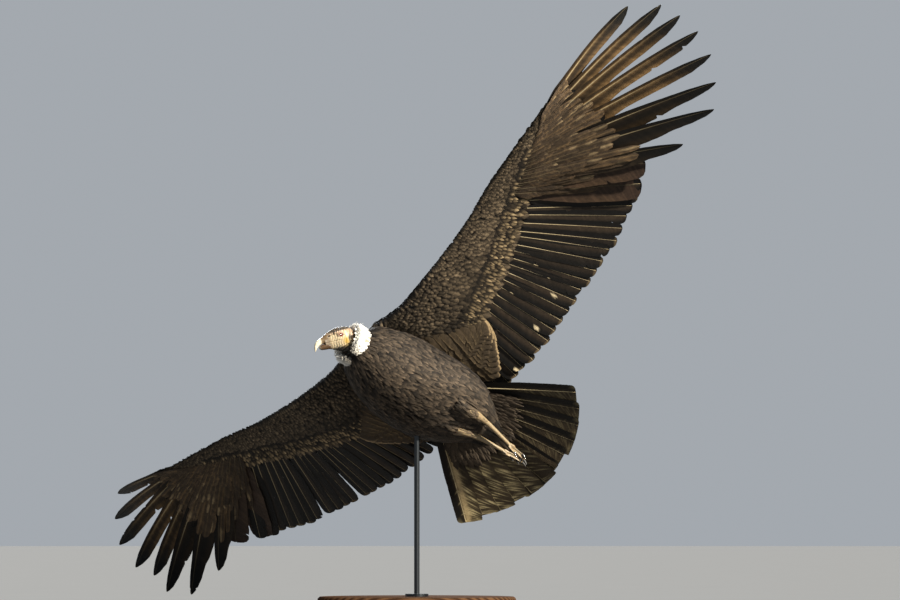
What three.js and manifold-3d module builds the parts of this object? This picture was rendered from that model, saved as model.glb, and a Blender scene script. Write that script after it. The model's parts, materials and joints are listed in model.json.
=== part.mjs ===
// An adult hen Andean condor soaring in a banked turn, life size, on a plain museum stand.
// Millimetres, +Z up. The origin is the middle of the underside of the stand's base.
import * as THREE from "three";
import { mergeVertices } from "three/addons/utils/BufferGeometryUtils.js";
import Module from "manifold-3d";

const wasm = await Module();
wasm.setup();
const { Manifold, Mesh } = wasm;

// Two neighbouring pieces keep this much air between them.
const gap = 0.3;

// How the bird hangs over the base. Its own frame has x ahead, y to its left and z out of its back,
// with the origin midway between the leading edges of the wings at the shoulders.
const flight = {
  heading: 205,
  climb: 31,
  bank: 40.7,
  shoulderX: -154,
  shoulderY: -57,
  shoulderZ: 780,
};

const stand = {
  baseRadius: 290,
  baseThick: 36,
  chamfer: 6,
  rodRadius: 8,
  flangeRadius: 34,
  flangeThick: 8,
  sides: 48,
};

const torso = {
  frontX: 36,
  length: 478,
  // half width, height of the back, depth of the belly and sideways bend of the middle line
  // at each share of the length from the front
  stations: [0, 0.03, 0.08, 0.16, 0.27, 0.4, 0.54, 0.68, 0.8, 0.9, 0.97, 1],
  halfWidth: [36, 66, 90, 114, 131, 140, 144, 142, 127, 104, 78, 56],
  back: [-14, 2, 18, 36, 50, 56, 54, 42, 24, 6, -12, -22],
  belly: [-84, -102, -120, -144, -162, -168, -162, -146, -124, -102, -84, -72],
  bend: [0, 0, 0, 0, 0, 0, 1, 4, 9, 14, 18, 19],
  // how far up the side the body is widest, from the belly
  widestFront: 0.74,
  widestRear: 0.55,
  // how soon along the body the widest level reaches its rear value
  widestRate: 2.2,
  squareness: 0.92,
  sides: 24,
};

const wing = {
  rootY: 62,
  handEndY: 905,
  coreStations: 12,
  // leading edge from the shoulder over the wrist to the end of the hand
  leadingEdge: [[20, 62, 2], [9, 105, 4], [5, 160, 0], [8, 225, 3], [16, 320, 10], [28, 490, 52], [52, 625, 86], [66, 773, 124], [74, 915, 166]],
  // line through the tips of the secondaries and the two innermost primaries
  trailingEdge: [[-420, 120, 12], [-412, 240, 6], [-400, 400, 28], [-374, 579, 62], [-349, 710, 86], [-310, 850, 118], [-250, 985, 122]],
  // share of the chord that the fleshy arm and the small coverts fill, and their greatest depth
  coreShareRoot: 0.52,
  coreShareTip: 0.3,
  coreThickRoot: 58,
  coreThickTip: 15,
  // the arm thins out to this share of the hand's end, and the hand rounds off over this last stretch
  thinShare: 0.62,
  endRound: 60,
  endBlunt: 0.35,
  // how far out the trailing edge is followed, and how the feathers' upper faces lean towards the body
  trailingEndY: 980,
  faceLean: -0.14,
};

const secondaries = {
  count: 18,
  innerShare: 0.02,
  outerShare: 0.88,
  innerLength: 235,
  outerLength: 300,
  innerSlant: -14,
  outerSlant: 43,
  width: 66,
  shaftThick: 3.4,
  edgeThick: 0.9,
  tilt: 4.2,
  bowUp: 4.2,
  // gaps in the trailing edge, by their distance out along each wing
  leftPartings: [],
  rightPartings: [503, 667],
  partWidth: 11,
  partReach: 40,
};

const primaries = {
  // tips of the ten primaries from the innermost to the outermost, which differ a little between the wings
  leftTips: [
    [-290, 902, 122], [-246, 970, 116], [-279, 1095, 109], [-270, 1238, 120], [-224, 1298, 144],
    [-175, 1331, 199], [-109, 1350, 228], [-50, 1339, 262], [-6, 1306, 309], [52, 1228, 331],
  ],
  rightTips: [
    [-286, 900, 126], [-240, 966, 120], [-268, 1094, 116], [-267, 1237, 123], [-215, 1301, 149],
    [-170, 1322, 209], [-115, 1349, 228], [-38, 1340, 268], [15, 1303, 319], [62, 1226, 337],
  ],
  innerRoot: [-22, 655, 92],
  outerRoot: [56, 872, 152],
  // the two innermost are broad and end on the trailing edge, the rest part into fingers
  broad: 2,
  broadWidth: 84,
  fingerWidth: 62,
  shaftThick: 4.4,
  edgeThick: 1,
  tilt: 4,
  fingerTwist: -11,
  bowAheadInner: 14,
  bowAheadOuter: 40,
  bowDownInner: 4,
  bowDownOuter: 26,
};

const coverts = {
  count: 11,
  underLength: 118,
  upperLength: 150,
  width: 72,
  shaftThick: 2,
  edgeThick: 0.8,
  tilt: 4,
  underDrop: -11,
  upperRise: 11,
  // the first and last stand this far in from the ends of the core
  innerInset: 50,
  outerInset: 40,
  // degrees that they slant outwards, at the body and at the hand
  innerSlant: -6,
  outerSlant: 50,
  rootShare: 0.78,
};

const tail = {
  count: 12,
  apex: [-223, -3, -2],
  yaw: 5.6,
  roll: 2.9,
  droop: 11.8,
  rootRadius: 138,
  tipRadius: 470,
  halfSpread: 38.5,
  width: 74,
  shaftThick: 3.6,
  edgeThick: 1,
  tilt: 3.4,
  camber: 8,
  // the fleshy root and the small coverts over it, at shares of the way out from coreStart to coreEnd
  coreStart: 110,
  coreEnd: 268,
  coreSpread: 35,
  coreHalfThick: [26, 24, 15, 3.2],
  coverts: 6,
  covertRoot: 208,
  covertLength: 118,
  covertWidth: 58,
  covertSpread: 0.72,
  underDrop: -14,
  upperRise: 13,
  // how far the outermost feather lies below the middle one
  stack: 9,
};

const neck = {
  // from the front of the torso to the back of the skull
  start: [14, 0, -52],
  middle: [44, 2, -54],
  headEnd: [-18, 0, -24],
  radius: [38, 36, 32, 27],
  folds: 3,
  foldDepth: 1.6,
  rings: 10,
  sides: 16,
};

const ruff = {
  centre: [38, 2, -54],
  innerRadius: 38,
  coreRadial: 9.5,
  coreAxial: 20,
  openHalf: 17,
  coreSteps: 14,
  coreSides: 7,
  outerReach: 38,
  rows: 2,
  locksPerRow: 12,
  lockWidth: 35,
  lockThick: 7,
};

const head = {
  centre: [88, 0, -52],
  turn: -40.4,
  pitch: -27.9,
  roll: -47.3,
  // along the skull, forward of the line through the eyes: crown height, jaw depth, half width
  stations: [-44, -40, -32, -20, -6, 8, 20, 30, 38],
  crown: [0, 12, 19, 24, 26.5, 26, 23.5, 20, 16.8],
  jaw: [-22, -36, -44, -47, -46, -42, -36, -31.5, -28.5],
  halfWidth: [9, 19, 26, 30, 29.5, 25, 18.5, 14, 12],
  sides: 20,
  eyeX: -1,
  eyeY: 20.6,
  eyeZ: 1.5,
  eyeRadius: 8.2,
  lidRadius: 8.6,
  lidThick: 2,
  lidOut: 5.6,
  lidSquash: 0.88,
  earX: -29,
  earZ: -18,
  mouthBackX: 4,
  mouthZ: -11,
};

const bill = {
  // upper half: forward of the eyes, ridge height, cutting edge height, half width
  stations: [38.4, 46, 54, 62, 69, 75, 79, 81.4],
  ridge: [16.6, 12.6, 9.4, 6.8, 3, -2.6, -9.4, -17],
  cut: [-10.6, -10.2, -9.8, -11, -14.4, -19.6, -24.6, -27.4],
  halfWidth: [11.8, 10.6, 9.8, 9, 7.8, 6.2, 4.2, 1.6],
  sides: 14,
  lowerStations: [38.4, 47, 55, 62, 66],
  lowerTop: [-11.2, -10.9, -10.6, -12.4, -16],
  lowerBottom: [-28.2, -27.6, -26.4, -24.4, -20.5],
  lowerHalfWidth: [11, 9.4, 8, 6.2, 3],
  nostrilX: 45,
  nostrilZ: 5.4,
};

const leg = {
  // where each shank leaves the belly, its ankle, the root of its toes and the end of its middle toe
  left: [[-330, 80, -112], [-402, 73, -97], [-512, 58, -106], [-576, 49, -113]],
  right: [[-352, 2, -108], [-428, 6, -90], [-520, 19, -92], [-586, 28, -97]],
  topRadius: 22,
  ankleRadius: 10.5,
  shankRadius: 7.6,
  sides: 12,
  // the three front toes lie closed side by side, the hind one under them
  toeOffset: [[2, 8.6, 1], [0, 0, -3], [2, -8.6, 1], [6, 0, -11]],
  toeShare: [0.8, 1, 0.78, 0.45],
  toeRadius: [5.6, 6.2, 5.4, 5],
  clawLength: 19,
  clawRadius: 3.8,
};

const vec = (p) => new THREE.Vector3(p[0], p[1], p[2]);
const mix = (a, b, t) => a + (b - a) * t;
const radians = THREE.MathUtils.degToRad;
const smooth = (t) => t * t * (3 - 2 * t);

// Repeatable numbers between -1 and 1.
function randomFrom(seed) {
  let state = seed;
  return () => {
    state = (state * 1664525 + 1013904223) % 4294967296;
    return (state / 4294967296) * 2 - 1;
  };
}

// A value read off a short table by straight lines between its entries.
function read(keys, values, key) {
  if (key <= keys[0]) return values[0];
  for (let i = 1; i < keys.length; i++) {
    if (key <= keys[i]) return mix(values[i - 1], values[i], (key - keys[i - 1]) / (keys[i] - keys[i - 1]));
  }
  return values[values.length - 1];
}

const curveThrough = (points) => new THREE.CatmullRomCurve3(points.map(vec), false, "centripetal");

// A three.js geometry as a solid that can be cut and joined.
function solidOf(geometry) {
  const plain = geometry.index ? geometry.toNonIndexed() : geometry.clone();
  plain.deleteAttribute("normal");
  plain.deleteAttribute("uv");
  const merged = mergeVertices(plain, 1e-4);
  const vertProperties = new Float32Array(merged.attributes.position.array);
  const triVerts = new Uint32Array(merged.index.array);
  const solid = new Manifold(new Mesh({ numProp: 3, vertProperties, triVerts }));
  if (solid.volume() >= 0) return solid;
  for (let i = 0; i < triVerts.length; i += 3) {
    [triVerts[i + 1], triVerts[i + 2]] = [triVerts[i + 2], triVerts[i + 1]];
  }
  return new Manifold(new Mesh({ numProp: 3, vertProperties, triVerts }));
}

function geometryOf(solid) {
  const { vertProperties, triVerts, numProp } = solid.getMesh();
  const positions = new Float32Array((vertProperties.length / numProp) * 3);
  for (let i = 0; i < positions.length / 3; i++) {
    positions.set(vertProperties.subarray(i * numProp, i * numProp + 3), i * 3);
  }
  const geometry = new THREE.BufferGeometry();
  geometry.setAttribute("position", new THREE.BufferAttribute(positions, 3));
  geometry.setIndex(new THREE.BufferAttribute(triVerts, 1));
  return geometry;
}

// The largest closed surface of a solid, which drops loose scraps and fills sealed hollows.
function largest(solid) {
  const bodies = solid.decompose();
  return bodies.reduce((best, body) => (body.volume() > best.volume() ? body : best), bodies[0]);
}

// A closed skin over rings of points, each ring with as many points as the next.
function loft(rings) {
  const sides = rings[0].length;
  const positions = rings.flat().flatMap((p) => [p.x, p.y, p.z]);
  const index = [];
  for (let r = 0; r + 1 < rings.length; r++) {
    for (let s = 0; s < sides; s++) {
      const a = r * sides + s;
      const b = r * sides + ((s + 1) % sides);
      index.push(a, b, a + sides, b, b + sides, a + sides);
    }
  }
  [0, rings.length - 1].forEach((r, end) => {
    const middle = rings[r].reduce((sum, p) => sum.add(p), new THREE.Vector3()).divideScalar(sides);
    const centre = positions.length / 3;
    positions.push(middle.x, middle.y, middle.z);
    for (let s = 0; s < sides; s++) {
      const a = r * sides + s;
      const b = r * sides + ((s + 1) % sides);
      index.push(...(end ? [a, b, centre] : [b, a, centre]));
    }
  });
  const geometry = new THREE.BufferGeometry();
  geometry.setAttribute("position", new THREE.Float32BufferAttribute(positions, 3));
  geometry.setIndex(index);
  return solidOf(geometry);
}

// A ring in the plane x = along: an egg whose widest level sits between its top and its bottom.
function eggRing(along, halfWidth, top, bottom, sides, squareness = 1, widest = 0.52) {
  const middle = mix(bottom, top, widest);
  return Array.from({ length: sides }, (_, s) => {
    const angle = (s / sides) * Math.PI * 2;
    const c = Math.cos(angle);
    const d = Math.sin(angle);
    const y = halfWidth * Math.sign(c) * Math.abs(c) ** squareness;
    const z = d >= 0 ? middle + (top - middle) * d : middle + (middle - bottom) * d;
    return new THREE.Vector3(along, y, z);
  });
}

// A round tube of changing radius along a curve, the rings square to it, and its ends moved out by "over".
function tube(points, radii, rings, sides, ripple = () => 0, over = 0) {
  const curve = curveThrough(points);
  const side = new THREE.Vector3(0, 1, 0);
  const keys = radii.map((_, i) => i / (radii.length - 1));
  return loft(
    Array.from({ length: rings }, (_, r) => {
      const t = r / (rings - 1);
      const ahead = curve.getTangent(t);
      const past = r === 0 ? -over : r === rings - 1 ? over : 0;
      const centre = curve.getPoint(t).addScaledVector(ahead, past);
      const across = side.clone().addScaledVector(ahead, -side.dot(ahead)).normalize();
      const up = new THREE.Vector3().crossVectors(ahead, across);
      const radius = read(keys, radii, t) + ripple(t);
      return Array.from({ length: sides }, (__, s) => {
        const angle = (s / sides) * Math.PI * 2;
        return centre
          .clone()
          .addScaledVector(across, Math.cos(angle) * radius)
          .addScaledVector(up, Math.sin(angle) * radius);
      });
    }),
  );
}

// Widths of a feather's two vanes, as shares of its full width, at shares of its length.
const vaneForms = {
  round: { at: [0, 0.4, 0.92, 1], lead: [0.16, 0.32, 0.32, 0.12], trail: [0.2, 0.58, 0.5, 0.14] },
  finger: { at: [0, 0.3, 0.52, 0.88, 1], lead: [0.12, 0.26, 0.2, 0.19, 0.05], trail: [0.2, 0.72, 0.56, 0.46, 0.08] },
  short: { at: [0, 0.8, 1], lead: [0.34, 0.44, 0.14], trail: [0.34, 0.5, 0.16] },
};

// A feather: a thin plate on both sides of a bowed shaft. "back" is the direction its upper face looks.
// The tilt, in degrees, lifts its leading vane over the next shaft; it changes to tipTilt at the end.
// "side" is -1 for a feather whose leading vane lies on the other side.
function feather({ root, tip, bow, back, form, width, shaftThick, edgeThick, tilt, tipTilt = tilt, side = 1 }) {
  const curve = new THREE.QuadraticBezierCurve3(root, root.clone().lerp(tip, 0.5).add(bow), tip);
  const { at, lead, trail } = vaneForms[form];
  const rings = at.map((t, k) => {
    const centre = curve.getPoint(t);
    const along = curve.getTangent(t);
    const ahead = new THREE.Vector3().crossVectors(along, back).normalize().multiplyScalar(side);
    const turn = -radians(mix(tilt, tipTilt, t)) * side;
    const slant = ahead.applyAxisAngle(along, turn);
    const up = new THREE.Vector3().crossVectors(slant, along).normalize().multiplyScalar(side);
    const half = (shaftThick / 2) * mix(1, 0.45, t);
    const edge = (edgeThick / 2) * mix(1, 0.7, t);
    const leadEdge = centre.clone().addScaledVector(slant, lead[k] * width);
    const trailEdge = centre.clone().addScaledVector(slant, -trail[k] * width);
    const lift = (p, h) => p.clone().addScaledVector(up, h);
    return [
      lift(leadEdge, edge),
      lift(centre, half),
      lift(trailEdge, edge),
      lift(trailEdge, -edge),
      lift(centre, -half),
      lift(leadEdge, -edge),
    ];
  });
  return plate(rings);
}

// A closed plate from rings of three upper and three lower points, split alike on both faces.
function plate(rings) {
  const positions = rings.flat().flatMap((p) => [p.x, p.y, p.z]);
  const index = [];
  for (let r = 0; r + 1 < rings.length; r++) {
    for (let s = 0; s < 6; s++) {
      const a = r * 6 + s;
      const b = r * 6 + ((s + 1) % 6);
      if (s === 3 || s === 4) index.push(a, b, b + 6, a, b + 6, a + 6);
      else index.push(a, b, a + 6, b, b + 6, a + 6);
    }
  }
  const last = (rings.length - 1) * 6;
  [[0, 1, 4], [0, 4, 5], [1, 2, 3], [1, 3, 4]].forEach(([a, b, c]) => {
    index.push(c, b, a, last + a, last + b, last + c);
  });
  const geometry = new THREE.BufferGeometry();
  geometry.setAttribute("position", new THREE.Float32BufferAttribute(positions, 3));
  geometry.setIndex(index);
  return solidOf(geometry);
}

function torsoSolid(grow = 0) {
  const rings = torso.stations.map((share, i) =>
    eggRing(
      torso.frontX - share * torso.length + (i === 0 ? grow : i === torso.stations.length - 1 ? -grow : 0),
      torso.halfWidth[i] + grow,
      torso.back[i] + grow,
      torso.belly[i] - grow,
      torso.sides,
      torso.squareness,
      mix(torso.widestFront, torso.widestRear, Math.min(1, share * torso.widestRate)),
    ).map((p) => p.setY(p.y + torso.bend[i])),
  );
  return loft(rings);
}

const leading = curveThrough(wing.leadingEdge);
const trailing = curveThrough(wing.trailingEdge);

// The point of a curve at a given distance out along the wing.
function atSpan(curve, y) {
  let low = 0;
  let high = 1;
  for (let i = 0; i < 24; i++) {
    const middle = (low + high) / 2;
    if (curve.getPoint(middle).y < y) low = middle;
    else high = middle;
  }
  return curve.getPoint(low);
}

// Where the wing's own middle surface lies at a distance out and a share of the chord back.
function wingSurface(y, share) {
  const front = atSpan(leading, Math.min(y, wing.handEndY));
  const rear = atSpan(trailing, Math.min(y, wing.trailingEndY));
  return front.lerp(rear, share);
}

const coreShare = (y) => mix(wing.coreShareRoot, wing.coreShareTip, (y - wing.rootY) / (wing.handEndY - wing.rootY));
const coreThick = (y) =>
  mix(wing.coreThickRoot, wing.coreThickTip, smooth(Math.min(1, (y - wing.rootY) / (wing.thinShare * wing.handEndY))));

// The arm and hand in their small coverts: a blunt-nosed blade that ends where the big feathers leave it.
function wingCore() {
  const profile = [
    [0, 0], [0.04, 0.26], [0.16, 0.5], [0.42, 0.5], [0.75, 0.34], [1, 0.2],
    [1, -0.2], [0.75, -0.3], [0.42, -0.4], [0.16, -0.42], [0.04, -0.24],
  ];
  const rings = Array.from({ length: wing.coreStations }, (_, k) => {
    const y = mix(wing.rootY, wing.handEndY, k / (wing.coreStations - 1));
    const front = wingSurface(y, 0);
    const rear = wingSurface(y, coreShare(y));
    const end = smooth(Math.min(1, (wing.handEndY - y) / wing.endRound + wing.endBlunt));
    const thick = coreThick(y) * end;
    return profile.map(([along, high]) => {
      const point = front.clone().lerp(rear, along * mix(0.55, 1, end));
      return point.add(new THREE.Vector3(0, -0.12 * high * thick, high * thick));
    });
  });
  return loft(rings);
}

// The secondaries, innermost first, each leaving the arm and ending on the trailing edge.
function secondaryFeathers(random, partings) {
  return Array.from({ length: secondaries.count }, (_, i) => {
    const share = i / (secondaries.count - 1);
    const tipShare = mix(secondaries.innerShare, secondaries.outerShare, share) + random() * 0.003;
    const tip = trailing.getPointAt(tipShare);
    tip.x += random() * 5;
    for (const y of partings) {
      const away = tip.y - y;
      tip.y += Math.sign(away) * secondaries.partWidth * Math.exp(-Math.abs(away) / secondaries.partReach);
    }
    const slant = radians(mix(secondaries.innerSlant, secondaries.outerSlant, smooth(share) * 0.5 + share * 0.5));
    const length = mix(secondaries.innerLength, secondaries.outerLength, share);
    const root = tip.clone().add(new THREE.Vector3(Math.cos(slant) * length, -Math.sin(slant) * length, 0));
    const rootY = Math.max(root.y, wing.rootY);
    root.z = wingSurface(rootY, coreShare(rootY) * 0.8).z;
    return feather({
      ...secondaries,
      root,
      tip,
      bow: new THREE.Vector3(0, 0, secondaries.bowUp),
      back: new THREE.Vector3(0, wing.faceLean, 1).normalize(),
      form: "round",
      tilt: secondaries.tilt + random() * 0.4,
    });
  });
}

// The primaries, innermost first. The outer eight part into fingers that bend upwards.
function primaryFeathers(random, tips) {
  return tips.map((end, i) => {
    const share = i / (tips.length - 1);
    const finger = i >= primaries.broad;
    const ahead = mix(primaries.bowAheadInner, primaries.bowAheadOuter, share);
    const down = mix(primaries.bowDownInner, primaries.bowDownOuter, share);
    return feather({
      ...primaries,
      root: vec(primaries.innerRoot).lerp(vec(primaries.outerRoot), share),
      tip: vec(end).add(new THREE.Vector3(random() * 3, random() * 3, 0)),
      bow: new THREE.Vector3(ahead, 0, -down),
      back: new THREE.Vector3(0.02, -0.2, 1).normalize(),
      form: finger ? "finger" : "round",
      width: finger ? primaries.fingerWidth : primaries.broadWidth,
      tipTilt: finger ? primaries.fingerTwist : primaries.tilt,
    });
  });
}

// One tier of greater coverts along the arm and hand, below the big feathers or above them.
function covertTier(length, offset, random) {
  return Array.from({ length: coverts.count }, (_, i) => {
    const share = i / (coverts.count - 1);
    const y = mix(wing.rootY + coverts.innerInset, wing.handEndY - coverts.outerInset, share);
    const slant = radians(mix(coverts.innerSlant, coverts.outerSlant, share ** 1.2));
    const reach = length * mix(1, 0.8, share) * (1 + random() * 0.05);
    const root = wingSurface(y, coreShare(y) * coverts.rootShare);
    const hold = Math.sign(offset) * Math.min(Math.abs(offset), coreThick(y) * 0.2);
    root.z += hold * 0.8;
    const tip = root.clone().add(new THREE.Vector3(-Math.cos(slant) * reach, Math.sin(slant) * reach, 0));
    tip.z = wingSurface(tip.y, 0.6).z + offset;
    return feather({
      ...coverts,
      root,
      tip,
      bow: new THREE.Vector3(0, 0, offset * 0.22),
      back: new THREE.Vector3(0, wing.faceLean, 1).normalize(),
      form: "short",
      width: coverts.width * mix(1, 0.86, share),
      tilt: coverts.tilt,
    });
  });
}

function wingSolid(seed, mirrored, tips, partings) {
  const random = randomFrom(seed);
  const pieces = [
    wingCore(),
    ...secondaryFeathers(random, partings),
    ...primaryFeathers(random, tips),
    ...covertTier(coverts.underLength, coverts.underDrop, random),
    ...covertTier(coverts.upperLength, coverts.upperRise, random),
  ];
  const whole = Manifold.union(pieces);
  return largest((mirrored ? whole.mirror([0, 1, 0]) : whole).subtract(torsoSolid(gap)));
}

// The fan's own frame: turned to the left, rolled with its left side up, and pressed down at its end.
const tailFrame = new THREE.Matrix4()
  .makeRotationY(radians(-tail.droop))
  .multiply(new THREE.Matrix4().makeRotationX(radians(tail.roll)))
  .multiply(new THREE.Matrix4().makeRotationZ(radians(-tail.yaw)))
  .setPosition(vec(tail.apex));

// A point of the tail fan: radius from its apex, angle to its left of the middle, and height.
function tailPoint(radius, angle, height) {
  const turned = radians(angle);
  const flat = new THREE.Vector3(-Math.cos(turned) * radius, Math.sin(turned) * radius, height);
  return flat.applyMatrix4(tailFrame);
}

function tailFeathers(random) {
  return Array.from({ length: tail.count }, (_, i) => {
    const share = (i / (tail.count - 1)) * 2 - 1;
    const angle = share * tail.halfSpread;
    const outer = share < 0 ? -1 : 1;
    const droop = -tail.camber * share * share;
    const stack = -Math.abs(share) * tail.stack;
    const radius = tail.tipRadius - 6 * share * share + random() * 4;
    return feather({
      ...tail,
      root: tailPoint(tail.rootRadius, angle * 0.92, stack * 0.5),
      tip: tailPoint(radius, angle, droop + stack),
      bow: new THREE.Vector3(0, 0, 5),
      back: new THREE.Vector3(0, 0, 1),
      form: "round",
      tilt: tail.tilt,
      side: outer,
    });
  });
}

function tailCoverts(height, random) {
  return Array.from({ length: tail.coverts }, (_, i) => {
    const share = (i / (tail.coverts - 1)) * 2 - 1;
    const angle = share * tail.halfSpread * tail.covertSpread;
    const reach = tail.covertLength * (1 - 0.14 * share * share) + random() * 4;
    return feather({
      root: tailPoint(tail.covertRoot, angle * 0.9, Math.sign(height) * 3 - 2),
      tip: tailPoint(tail.covertRoot + reach, angle, height - 5 * share * share),
      bow: new THREE.Vector3(0, 0, Math.sign(height) * 4),
      back: new THREE.Vector3(0, 0, 1),
      form: "short",
      width: tail.covertWidth,
      shaftThick: 2.2,
      edgeThick: 0.9,
      tilt: 4,
      side: share < 0 ? -1 : 1,
    });
  });
}

function tailSolid() {
  const random = randomFrom(77);
  const rings = tail.coreHalfThick.map((thick, k) => {
    const radius = mix(tail.coreStart, tail.coreEnd, k / (tail.coreHalfThick.length - 1));
    return Array.from({ length: 16 }, (_, s) => {
      const around = (s / 16) * Math.PI * 2;
      const spread = Math.cos(around) * tail.coreSpread;
      return tailPoint(radius, spread, Math.sin(around) * thick * (1 - 0.5 * Math.abs(Math.cos(around))) - 2);
    });
  });
  const pieces = [loft(rings), ...tailFeathers(random), ...tailCoverts(tail.underDrop, random), ...tailCoverts(tail.upperRise, random)];
  return largest(Manifold.union(pieces).subtract(torsoSolid(gap)));
}

const headFrame = new THREE.Matrix4()
  .makeRotationFromEuler(new THREE.Euler(radians(head.roll), radians(-head.pitch), radians(head.turn), "ZYX"))
  .setPosition(vec(head.centre));

function neckSolid(grow = 0) {
  const ripple = (t) => neck.foldDepth * Math.cos(t * neck.folds * Math.PI * 2) + grow;
  const skull = vec(neck.headEnd).applyMatrix4(headFrame).toArray();
  return tube([neck.start, neck.middle, skull], neck.radius, neck.rings, neck.sides, ripple, grow);
}

// A point on the ruff's ring: angle from straight above, distance from the neck's middle, place along it.
function ruffPoint(angle, radius, along) {
  return new THREE.Vector3(
    ruff.centre[0] + along,
    ruff.centre[1] + Math.sin(angle) * radius,
    ruff.centre[2] + Math.cos(angle) * radius,
  );
}

function ruffSolid() {
  const random = randomFrom(11);
  const reach = Math.PI - radians(ruff.openHalf);
  const core = loft(
    Array.from({ length: ruff.coreSteps }, (_, k) => {
      const angle = mix(-reach, reach, k / (ruff.coreSteps - 1));
      const end = Math.sin((Math.PI * (k + 1.2)) / (ruff.coreSteps + 1.4)) ** 0.35;
      return Array.from({ length: ruff.coreSides }, (__, s) => {
        const around = (s / ruff.coreSides) * Math.PI * 2;
        const out = ruff.innerRadius + ruff.coreRadial * (1 + Math.cos(around) * end);
        return ruffPoint(angle, out, Math.sin(around) * ruff.coreAxial * end);
      });
    }),
  );
  const locks = [];
  for (let row = 0; row < ruff.rows; row++) {
    for (let i = 0; i < ruff.locksPerRow; i++) {
      const angle = mix(-reach, reach, (i + 0.3 + 0.4 * row) / ruff.locksPerRow);
      const start = ruffPoint(angle, ruff.innerRadius + 9, mix(15, -3, row));
      const reachOut = ruff.outerReach + random() * 2.5;
      const end = ruffPoint(angle + random() * 0.06, ruff.innerRadius + reachOut * mix(0.86, 1, row), mix(-4, -26, row));
      const outwards = ruffPoint(angle, 1, 0).sub(ruffPoint(angle, 0, 0));
      locks.push(
        feather({
          root: start,
          tip: end,
          bow: outwards.clone().multiplyScalar(mix(13, 9, row)).add(new THREE.Vector3(8, 0, 0)),
          back: outwards.clone().add(new THREE.Vector3(0.6, 0, 0)).normalize(),
          form: "short",
          width: ruff.lockWidth,
          shaftThick: ruff.lockThick,
          edgeThick: 1.2,
          tilt: 9,
        }),
      );
    }
  }
  const whole = Manifold.union([core, ...locks]);
  return largest(whole.subtract(neckSolid(gap)).subtract(torsoSolid(gap)).subtract(headWhole(gap)));
}

// The head, bill and eyes are made in the head's own frame, with its origin midway between the eyes.
const inHead = (solid) => solid.transform(headFrame.toArray());

// An ellipsoid of a few facets.
function lump(centre, radii, turnY = 0, detail = 7) {
  const ball = new THREE.SphereGeometry(1, detail, Math.round(detail * 0.7));
  ball.scale(radii[0], radii[1], radii[2]);
  ball.rotateY(radians(turnY));
  ball.translate(centre[0], centre[1], centre[2]);
  return solidOf(ball);
}

function headForm(grow = 0) {
  return loft(
    head.stations.map((x, i) =>
      eggRing(
        x + (i === 0 ? -grow : i === head.stations.length - 1 ? grow : 0),
        head.halfWidth[i] + grow,
        head.crown[i] + grow,
        head.jaw[i] - grow,
        head.sides,
      ),
    ),
  );
}

const headWhole = (grow) => inHead(headForm(grow));

// Both lids of one eye: a ring of skin, thicker above than below.
function lidRing(side) {
  const rings = Array.from({ length: 10 }, (_, k) => {
    const angle = (k / 10) * Math.PI * 2;
    const thick = head.lidThick * (1 + 0.35 * Math.sin(angle));
    return Array.from({ length: 4 }, (__, s) => {
      const around = (s / 4) * Math.PI * 2;
      const out = head.lidRadius + Math.cos(around) * thick;
      return new THREE.Vector3(
        head.eyeX + Math.cos(angle) * out,
        side * (head.eyeY + head.lidOut + Math.sin(around) * thick * 1.3),
        head.eyeZ + Math.sin(angle) * out * head.lidSquash,
      );
    });
  });
  return closedRing(rings);
}

// A ring of rings, joined last to first.
function closedRing(rings) {
  const sides = rings[0].length;
  const total = rings.length * sides;
  const index = [];
  for (let r = 0; r < rings.length; r++) {
    for (let s = 0; s < sides; s++) {
      const a = r * sides + s;
      const b = r * sides + ((s + 1) % sides);
      index.push(a, b, (a + sides) % total, b, (b + sides) % total, (a + sides) % total);
    }
  }
  const geometry = new THREE.BufferGeometry();
  geometry.setAttribute("position", new THREE.Float32BufferAttribute(rings.flat().flatMap((p) => [p.x, p.y, p.z]), 3));
  geometry.setIndex(index);
  return solidOf(geometry);
}

const eyeBall = (side, grow = 0) => lump([head.eyeX, side * head.eyeY, head.eyeZ], Array(3).fill(head.eyeRadius + grow), 0, 8);

function headSolid() {
  let solid = headForm();
  for (const side of [1, -1]) {
    const brow = lump([head.eyeX + 2, side * (head.eyeY - 1), head.eyeZ + 11], [17, 6.5, 4.5], 6);
    const cheek = lump([head.eyeX - 12, side * (head.eyeY - 2), -17], [16, 9, 12], -8);
    const fold = lump([-27, side * 20, -10], [5, 9, 19], 12);
    solid = solid.add(brow).add(cheek).add(fold).add(lidRing(side));
    solid = solid.subtract(eyeBall(side, gap));
    const ear = lump([head.earX, side * 29.5, head.earZ], [3.2, 6, 6.5], 14, 8);
    const mouth = lump([head.mouthBackX + 18, side * 23, head.mouthZ], [24, 9, 0.9], 3);
    solid = solid.subtract(ear).subtract(mouth);
  }
  return largest(inHead(solid).subtract(neckSolid(gap)));
}

function billRings(stations, top, bottom, halfWidth) {
  return loft(stations.map((x, i) => eggRing(x, halfWidth[i], top[i], bottom[i], bill.sides, 0.85)));
}

function upperBill() {
  const form = billRings(bill.stations, bill.ridge, bill.cut, bill.halfWidth);
  const slot = lump([bill.nostrilX, 0, bill.nostrilZ], [5, 30, 1.7], 12);
  return inHead(form.subtract(slot));
}

const lowerBill = () => inHead(billRings(bill.lowerStations, bill.lowerTop, bill.lowerBottom, bill.lowerHalfWidth));

// The legs and feet are laid back under the tail.
const legOf = (side) => (side > 0 ? leg.left : leg.right);

function shankSolid(side) {
  const points = legOf(side).slice(0, 3);
  const whole = tube(points, [leg.topRadius, leg.ankleRadius, leg.shankRadius], 8, leg.sides);
  return largest(whole.subtract(torsoSolid(gap)));
}

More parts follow.
